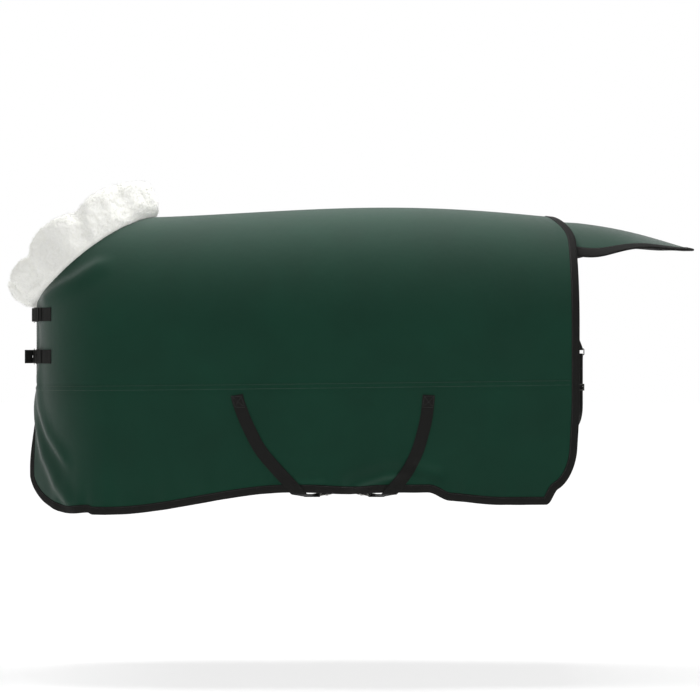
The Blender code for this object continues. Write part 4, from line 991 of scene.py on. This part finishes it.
def tail_strap_line():
    """Centres (y, z) of the tail strap, from the left ring down and up to the right link."""
    fold = RING_WIRE + RING_GAP + CAD_WEB_THICK / 2
    layer = 2 * LAP
    low = -RING_DROP - TAIL_DROP
    turn = -STRAP_TOP - STRAIGHT_RUN
    far = STRAP_TOP + HOOK_HEIGHT + LINK_HEIGHT + 0.001
    inner = -RING_Y + fold
    line = [(inner + layer, -STRAP_TOP - 0.045), (inner + layer, -STRAP_TOP - 0.018),
            (inner, -STRAP_TOP - 0.006)]
    line += [(-RING_Y + fold * math.cos(t), -STRAP_TOP + fold * math.sin(t))
             for t in np.linspace(0, math.pi, 9)]
    line += [(-RING_Y - fold, -STRAP_TOP - 0.006), (-RING_Y, -STRAP_TOP - 0.018)]
    line += [(-RING_Y, z) for z in np.linspace(-STRAP_TOP - 0.045, turn, 16)]
    line += [(RING_Y * math.cos(t), turn + (turn - low) * math.sin(t))
             for t in np.linspace(math.pi, 2 * math.pi, 61)[1:-1]]
    line += [(RING_Y, z) for z in np.linspace(turn, -far - 0.018, 12)]
    line += [(RING_Y + fold, -far - 0.006)]
    line += [(RING_Y + fold * math.cos(t), -far + fold * math.sin(t))
             for t in np.linspace(0, math.pi, 9)]
    line += [(RING_Y - fold, -far - 0.006), (RING_Y - layer, -far - 0.018),
             (RING_Y - layer, -far - 0.04)]
    return np.array(line)


def make_tail_strap():
    line = tail_strap_line()
    centres = np.stack((np.full(len(line), RING_X), line[:, 0], line[:, 1]), axis=-1)
    ahead = unit(np.gradient(centres, axis=0))
    across = np.tile((1.0, 0.0, 0.0), (len(line), 1))
    strap = strap_mesh("tail_strap_fine", centres, across, unit(np.cross(across, ahead)),
                       TAIL_WEB)
    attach(strap, "tail_strap")
    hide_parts("tail_strap")


# ---- Tail flap ----
FLAP_PIVOT_X = BACK_LENGTH + 0.012
FLAP_CURL, FLAP_RAISE, FLAP_WAVE, FLAP_TILT = 0.28, 0.012, 0.006, 0.011
FLAP_BORDER_START = REAR_X - 0.028


def flap_surface(x, y):
    """A point of the flap as it hangs: a soft droop at its sides and slow waves."""
    x, y = np.broadcast_arrays(np.asarray(x, float), np.asarray(y, float))
    share = y / FLAP_HALF
    run = (x - BACK_LENGTH) / FLAP_LENGTH
    fall = FLAP_FALL * ((1 - FLAP_CURL) * run + FLAP_CURL * run * np.abs(run))
    ridge = top_line(np.minimum(x, BACK_LENGTH)) - FLAP_CLEAR - np.maximum(fall, -0.001)
    arch = 1 - smooth((x - BACK_LENGTH) / (FLAP_LENGTH * 1.05)) ** 0.9
    drop = arch * CROWN_DROP * (1 - np.sqrt(np.maximum(1 - (y / REAR_HALF) ** 2, 0.0)))
    away = smooth(run / 0.2)
    raised = away * FLAP_RAISE * np.sin(math.pi * np.clip(run, 0, 1)) * (1 - share ** 2)
    wave = away * FLAP_WAVE * share ** 2 * np.sin((0.08 - run) * 2 * math.pi / 0.62)
    tilt = FLAP_TILT * share * smooth(run / 0.35)
    return np.stack((x, y, ridge - drop + raised + wave + tilt), axis=-1)


def flap_start(share):
    return FLAP_PIVOT_X + 0.105 * np.abs(share) ** 1.5


def flap_end(share):
    return FLAP_TIP - FLAP_CORNER * (1 - np.sqrt(np.maximum(1 - np.abs(share) ** 4, 0.0)))


def flap_normal(x, y):
    return normal_of(flap_surface, x, y, 0.003, 0.002)


def flap_border():
    """Places (x, y) round the flap's free edge, left root to right root, with the way in."""
    sides = np.linspace(FLAP_BORDER_START, float(flap_end(1.0)), 60)
    turns = np.sin(np.linspace(-math.pi / 2, math.pi / 2, 161))
    line = [(x, -1.0) for x in sides[:-1]] + [(float(flap_end(s)), s) for s in turns]
    line += [(x, 1.0) for x in sides[-2::-1]]
    line, ahead = evenly(np.array(line) * (1.0, FLAP_HALF), FLAP_BORDER_STEP)
    return line, np.stack((-ahead[:, 1], ahead[:, 0]), axis=-1)


def bend_with_flap(piece):
    """Bakes the piece's transform into its mesh, where it stays; the piece moves with no body."""
    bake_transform(piece)


def make_flap():
    shares = np.linspace(-1, 1, 81)
    rows, uv = [], []
    for share in shares:
        start, end = float(flap_start(share)), float(flap_end(share))
        xs = np.concatenate((np.linspace(BACK_LENGTH - FLAP_ROOT, start, 16)[:-1],
                             np.linspace(start, end, 80)))
        rows.append(flap_surface(xs, share * FLAP_HALF))
        uv.append(np.stack((xs, np.full(len(xs), share * FLAP_HALF)), axis=-1))
    rows, uv = np.array(rows), np.array(uv)
    flap = slab("flap_cloth", rows, FLAP_THICK, SHELL_CLOTH, LINING, uv=uv)
    line, inward = flap_border()
    leg = FLAP_THICK / 2 + LEG_LIFT
    profile = [(r, h + (leg - LEG) * math.copysign(1, h)) if r >= 0
               else (r * leg / LEG, h * leg / LEG) for r, h in BINDING_PROFILE]
    points = edge_rows(flap_surface, flap_normal, line, inward, profile)
    binding = slab("flap_binding", points, BINDING_DRAWN, WEBBING, uv=profile_lengths(points))
    rows = sewn_rows(flap_surface, flap_normal, line, inward, leg, (1, -1))
    sewn = stitch_object("flap_stitches", rows, BLACK_THREAD)
    for piece in (flap, binding, sewn):
        bend_with_flap(piece)
    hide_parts("tail_flap", "tail_flap_gusset")
    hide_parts("tail_flap_binding")
    return flap, [binding, sewn]


# ---- Fleece collar ----
COLLAR_THICK, COLLAR_PER_SIDE, COLLAR_AROUND = 0.044, 260, 132
# heights at shares of the neckline from the front, and lean at its front, middle and top
COLLAR_SHARES = (0.0, 0.12, 0.25, 0.36, 0.50, 0.66, 0.80, 0.92, 1.0)
COLLAR_HEIGHTS = (0.096, 0.116, 0.134, 0.132, 0.160, 0.142, 0.146, 0.130, 0.118)
COLLAR_LEAN = (57.0, 38.0, 17.0)
# noise on the fleece: height, size of its features, seed
LUMPS = ((0.0045, 0.055, 3.0), (0.0022, 0.019, 11.0), (0.0008, 0.0042, 37.0))
TUFTS = (0.0030, 0.0085, 23.0)
# creases between the bulges: place along the neckline, half width, depth
CREASES = ((0.35, 0.030, 0.012), (0.655, 0.035, 0.012), (0.86, 0.030, 0.005), (0.14, 0.028, 0.006))


def collar_frames(side, shares):
    """Places along the neckline where the collar sits, and which way it rises there."""
    along, down = neckline(shares)
    seat = surface(side, along, down)
    seat[:, 1] = side * np.where(shares < 1, np.maximum(np.abs(seat[:, 1]), EDGE_SPLIT), 0.0)
    lean = np.radians(np.interp(shares, (0.0, 0.5, 1.0), COLLAR_LEAN))
    inward = 0.32 * np.sin(math.pi * shares)
    rise = unit(np.stack((-np.sin(lean), -side * inward, np.cos(lean)), axis=-1))
    return seat, rise


def collar_points(per_side, around):
    """Points of the plain lobed collar, front to front, and the way out of it at each."""
    shares = np.linspace(0.0, 1.0, per_side)
    left = collar_frames(LEFT, shares)
    right = collar_frames(RIGHT, shares[-2::-1])
    seat, rise = (np.concatenate((a, b)) for a, b in zip(left, right))
    every = np.concatenate((shares, shares[-2::-1]))
    ahead = np.gradient(seat, axis=0)
    outward = unit(np.cross(ahead, rise))
    height = np.interp(every, COLLAR_SHARES, COLLAR_HEIGHTS)
    thick = np.full(len(every), COLLAR_THICK)
    ends = np.sqrt(1 - (1 - np.clip(every / 0.03, 0.0, 1.0)) ** 2) * 0.75 + 0.25
    height, thick = height * (0.6 + 0.4 * ends), thick * ends
    turns = 2 * math.pi * np.arange(around) / around
    up, out = -np.cos(turns), np.sin(turns)
    up = np.sign(up) * np.abs(up) ** 0.85
    level = (up + 1) / 2
    middle = seat + rise * (height / 2 + PANEL_THICK / 2)[:, None]
    points = (middle[:, None] + rise[:, None] * (up[None] * height[:, None] / 2)[..., None]
              + outward[:, None] * (out[None] * thick[:, None] / 2)[..., None])
    radial = unit(rise[:, None] * (up[None] / height[:, None])[..., None]
                  + outward[:, None] * (out[None] / thick[:, None])[..., None])
    depth = np.zeros(points.shape[:2])
    for place, half, deep in CREASES:
        slant = place + 0.05 * (level[None] - 0.6)
        fading = 0.35 + 0.65 * level[None]
        depth += deep * np.exp(-((every[:, None] - slant) / half) ** 2) * fading
    depth = depth * (0.35 + 0.65 * smooth(level[None] * 1.6))
    return points - radial * depth[..., None], radial


SIM_PER_SIDE, SIM_AROUND, SIM_FRAMES, SIM_BLURS = 110, 48, 22, 3
SIM_GROWTH, SIM_PRESSURE, SIM_STIFFNESS, SIM_MOST = 0.02, 3.0, 10.0, 0.012


def puffed_moves():
    """How far each point of a coarse collar moves when its cover, cut a little full, is filled."""
    points, _ = collar_points(SIM_PER_SIDE, SIM_AROUND)
    cover = grid_object("collar_cover", points, FLEECE_PILE, around=True)
    cap(cover)
    turns = np.arange(SIM_AROUND)
    sewn = np.minimum(turns, SIM_AROUND - turns) <= 3         # the columns on the neck seam
    group = cover.vertex_groups.new(name="sewn")
    rows = len(points)
    group.add([r * SIM_AROUND + int(c) for r in range(rows) for c in np.flatnonzero(sewn)],
              1.0, "REPLACE")
    filling = cover.modifiers.new("filling", "CLOTH")
    for setting, value in (("quality", 6), ("mass", 0.2), ("vertex_group_mass", "sewn"),
                           ("use_pressure", True), ("uniform_pressure_force", SIM_PRESSURE),
                           ("shrink_min", -SIM_GROWTH), ("bending_stiffness", SIM_STIFFNESS)):
        setattr(filling.settings, setting, value)
    filling.settings.effector_weights.gravity = 0.0
    filling.collision_settings.use_collision = False
    filling.point_cache.frame_end = SIM_FRAMES
    scene = bpy.context.scene
    for step in range(1, SIM_FRAMES + 1):
        scene.frame_set(step)
    graph = bpy.context.evaluated_depsgraph_get()
    settled = cover.evaluated_get(graph).data
    places = np.empty(len(settled.vertices) * 3, np.float32)
    settled.vertices.foreach_get("co", places)
    moves = places.reshape(points.shape) - points
    length = np.linalg.norm(moves, axis=-1, keepdims=True)
    moves = moves * np.minimum(1.0, SIM_MOST / np.maximum(length, 1e-9))
    bpy.data.objects.remove(cover)
    scene.frame_set(1)
    for _ in range(SIM_BLURS):                  # the padding evens out the cover's small creases
        ends = np.concatenate((moves[:1], moves, moves[-1:]))
        moves = (ends[:-2] + 2 * moves + ends[2:]) / 4
        moves = (np.roll(moves, 1, axis=1) + 2 * moves + np.roll(moves, -1, axis=1)) / 4
    return moves


def refine_grid(values, rows, cols):
    """A coarse grid of vectors, closed across its columns, read at a finer grid's points."""
    high = np.linspace(0, len(values) - 1, rows)
    wide = np.arange(cols) * values.shape[1] / cols
    closed = np.concatenate((values, values[:, :1]), axis=1)
    i, j = np.minimum(high.astype(int), len(values) - 2), wide.astype(int)
    s, t = smooth(high - i)[:, None, None], smooth(wide - j)[None, :, None]
    top = closed[i][:, j] * (1 - t) + closed[i][:, j + 1] * t
    low = closed[i + 1][:, j] * (1 - t) + closed[i + 1][:, j + 1] * t
    return top * (1 - s) + low * s


def make_collar():
    points, radial = collar_points(COLLAR_PER_SIDE, COLLAR_AROUND)
    points = points + refine_grid(puffed_moves(), *points.shape[:2])
    rough = sum(height * noise_field(points, size, seed) for height, size, seed in LUMPS)
    height, size, seed = TUFTS
    rough = rough + height * (np.abs(noise_field(points, size, seed)) - 0.25)
    points = points + radial * rough[..., None]
    collar = grid_object("collar_fleece", points, FLEECE_PILE, around=True)
    cap(collar)
    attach(collar, "rug")
    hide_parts("neck_collar")
    pile = make_pile(points, radial)
    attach(pile, "rug")
    return collar


PILE_SEED, PILE_COUNT, PILE_LENGTH, PILE_HALF = 7, 26000, 0.0065, 0.00045


def make_pile(points, radial):
    """Short curled fibres that stand out of the fleece and soften its outline."""
    draw = np.random.default_rng(PILE_SEED)
    rows, cols = points.shape[:2]
    i = draw.integers(0, rows, PILE_COUNT)
    j = draw.integers(0, cols, PILE_COUNT)
    root = points[i, j] + draw.normal(0, 0.0012, (PILE_COUNT, 3))
    lean = unit(radial[i, j] + 0.75 * draw.normal(0, 0.6, (PILE_COUNT, 3)))
    aside = unit(np.cross(lean, draw.normal(0, 1.0, (PILE_COUNT, 3))))
    bend = unit(np.cross(lean, aside))
    length = PILE_LENGTH * draw.uniform(0.5, 1.0, PILE_COUNT)[:, None]
    half = aside * PILE_HALF
    middle = root + lean * length * 0.55 + bend * length * 0.12
    tip = root + lean * length * 0.85 + bend * length * 0.45
    verts = np.stack((root - half, root + half, middle + half * 0.8, middle - half * 0.8, tip),
                     axis=1)
    base = (np.arange(PILE_COUNT) * 5)[:, None]
    quads = (base + np.array((0, 1, 2, 3))).tolist()
    tips = (base + np.array((3, 2, 4))).tolist()
    item = mesh_object("collar_pile", verts.reshape(-1, 3), quads + tips, FLEECE_PILE)
    return item


# ---- Stage, lights and camera ----
FLOOR_Z, FLOOR_REACH = -1.55, 30.0


def make_stage():
    m = Nodes("pale_floor", 0.9, specular=0.1)
    m.put(Base_Color=(0.88, 0.88, 0.88, 1.0), Emission_Color=WHITE)
    away = m.add("ShaderNodeVectorMath", operation="LENGTH")
    m.link(m.places(), away.inputs[0])
    glow = m.add("ShaderNodeMapRange", From_Min=2.5, From_Max=7.0, To_Min=0.62, To_Max=0.92)
    m.link(away.outputs["Value"], glow.inputs["Value"])
    m.link(glow.outputs["Result"], m.shader.inputs["Emission Strength"])
    points = [[(x, y, FLOOR_Z) for x in (-FLOOR_REACH, FLOOR_REACH)]
              for y in (-FLOOR_REACH, FLOOR_REACH)]
    floor = grid_object("floor", points, m.material)
    world = bpy.data.worlds.new("studio")
    bpy.context.scene.world = world
    world.use_nodes = True
    tree = world.node_tree
    light = tree.nodes["Background"]
    light.inputs["Color"].default_value = WHITE
    light.inputs["Strength"].default_value = 0.15
    seen = tree.nodes.new("ShaderNodeBackground")
    seen.inputs["Color"].default_value = WHITE
    path = tree.nodes.new("ShaderNodeLightPath")
    mix = tree.nodes.new("ShaderNodeMixShader")
    tree.links.new(path.outputs["Is Camera Ray"], mix.inputs[0])
    tree.links.new(light.outputs[0], mix.inputs[1])
    tree.links.new(seen.outputs[0], mix.inputs[2])
    tree.links.new(mix.outputs[0], tree.nodes["World Output"].inputs["Surface"])


def softbox(name, place, target, size, power):
    light = bpy.data.lights.new(name, "AREA")
    light.shape = "RECTANGLE"
    light.size, light.size_y = size
    light.energy = power
    item = bpy.data.objects.new(name, light)
    item.location = place
    item.rotation_euler = (Vector(target) - Vector(place)).to_track_quat("-Z", "Y").to_euler()
    bpy.context.scene.collection.objects.link(item)


def make_lights():
    softbox("overhead", (0.62, 0.08, 2.0), (0.62, 0.0, 0.0), (1.9, 1.54), 97)
    softbox("front_fill", (-0.2, -6.0, 2.2), (0.6, 0.0, -0.5), (4.0, 3.0), 90)
    softbox("rear_fill", (2.6, 4.5, 2.0), (0.6, 0.0, -0.5), (3.0, 2.5), 40)


def make_camera():
    """Level with the rug's middle, square to its left side."""
    data = bpy.data.cameras.new("camera")
    distance, width = 6.0, 2.38
    data.sensor_width = 36.0
    data.lens = data.sensor_width * distance / width
    data.clip_end = 60.0
    camera = bpy.data.objects.new("camera", data)
    camera.location = (0.663, -distance, -0.449)
    camera.rotation_euler = (math.pi / 2, 0.0, 0.0)
    bpy.context.scene.collection.objects.link(camera)
    bpy.context.scene.camera = camera


bpy.context.scene.view_settings.view_transform = "Standard"
make_stage()
make_lights()
make_camera()
shell = make_shell()
binding, binding_sewn = make_binding()
seam_sewn = make_seam_stitches()
make_seam_tapes()
make_surcingles()
make_tail_strap()
make_fittings()
flap, flap_trim = make_flap()
make_collar()
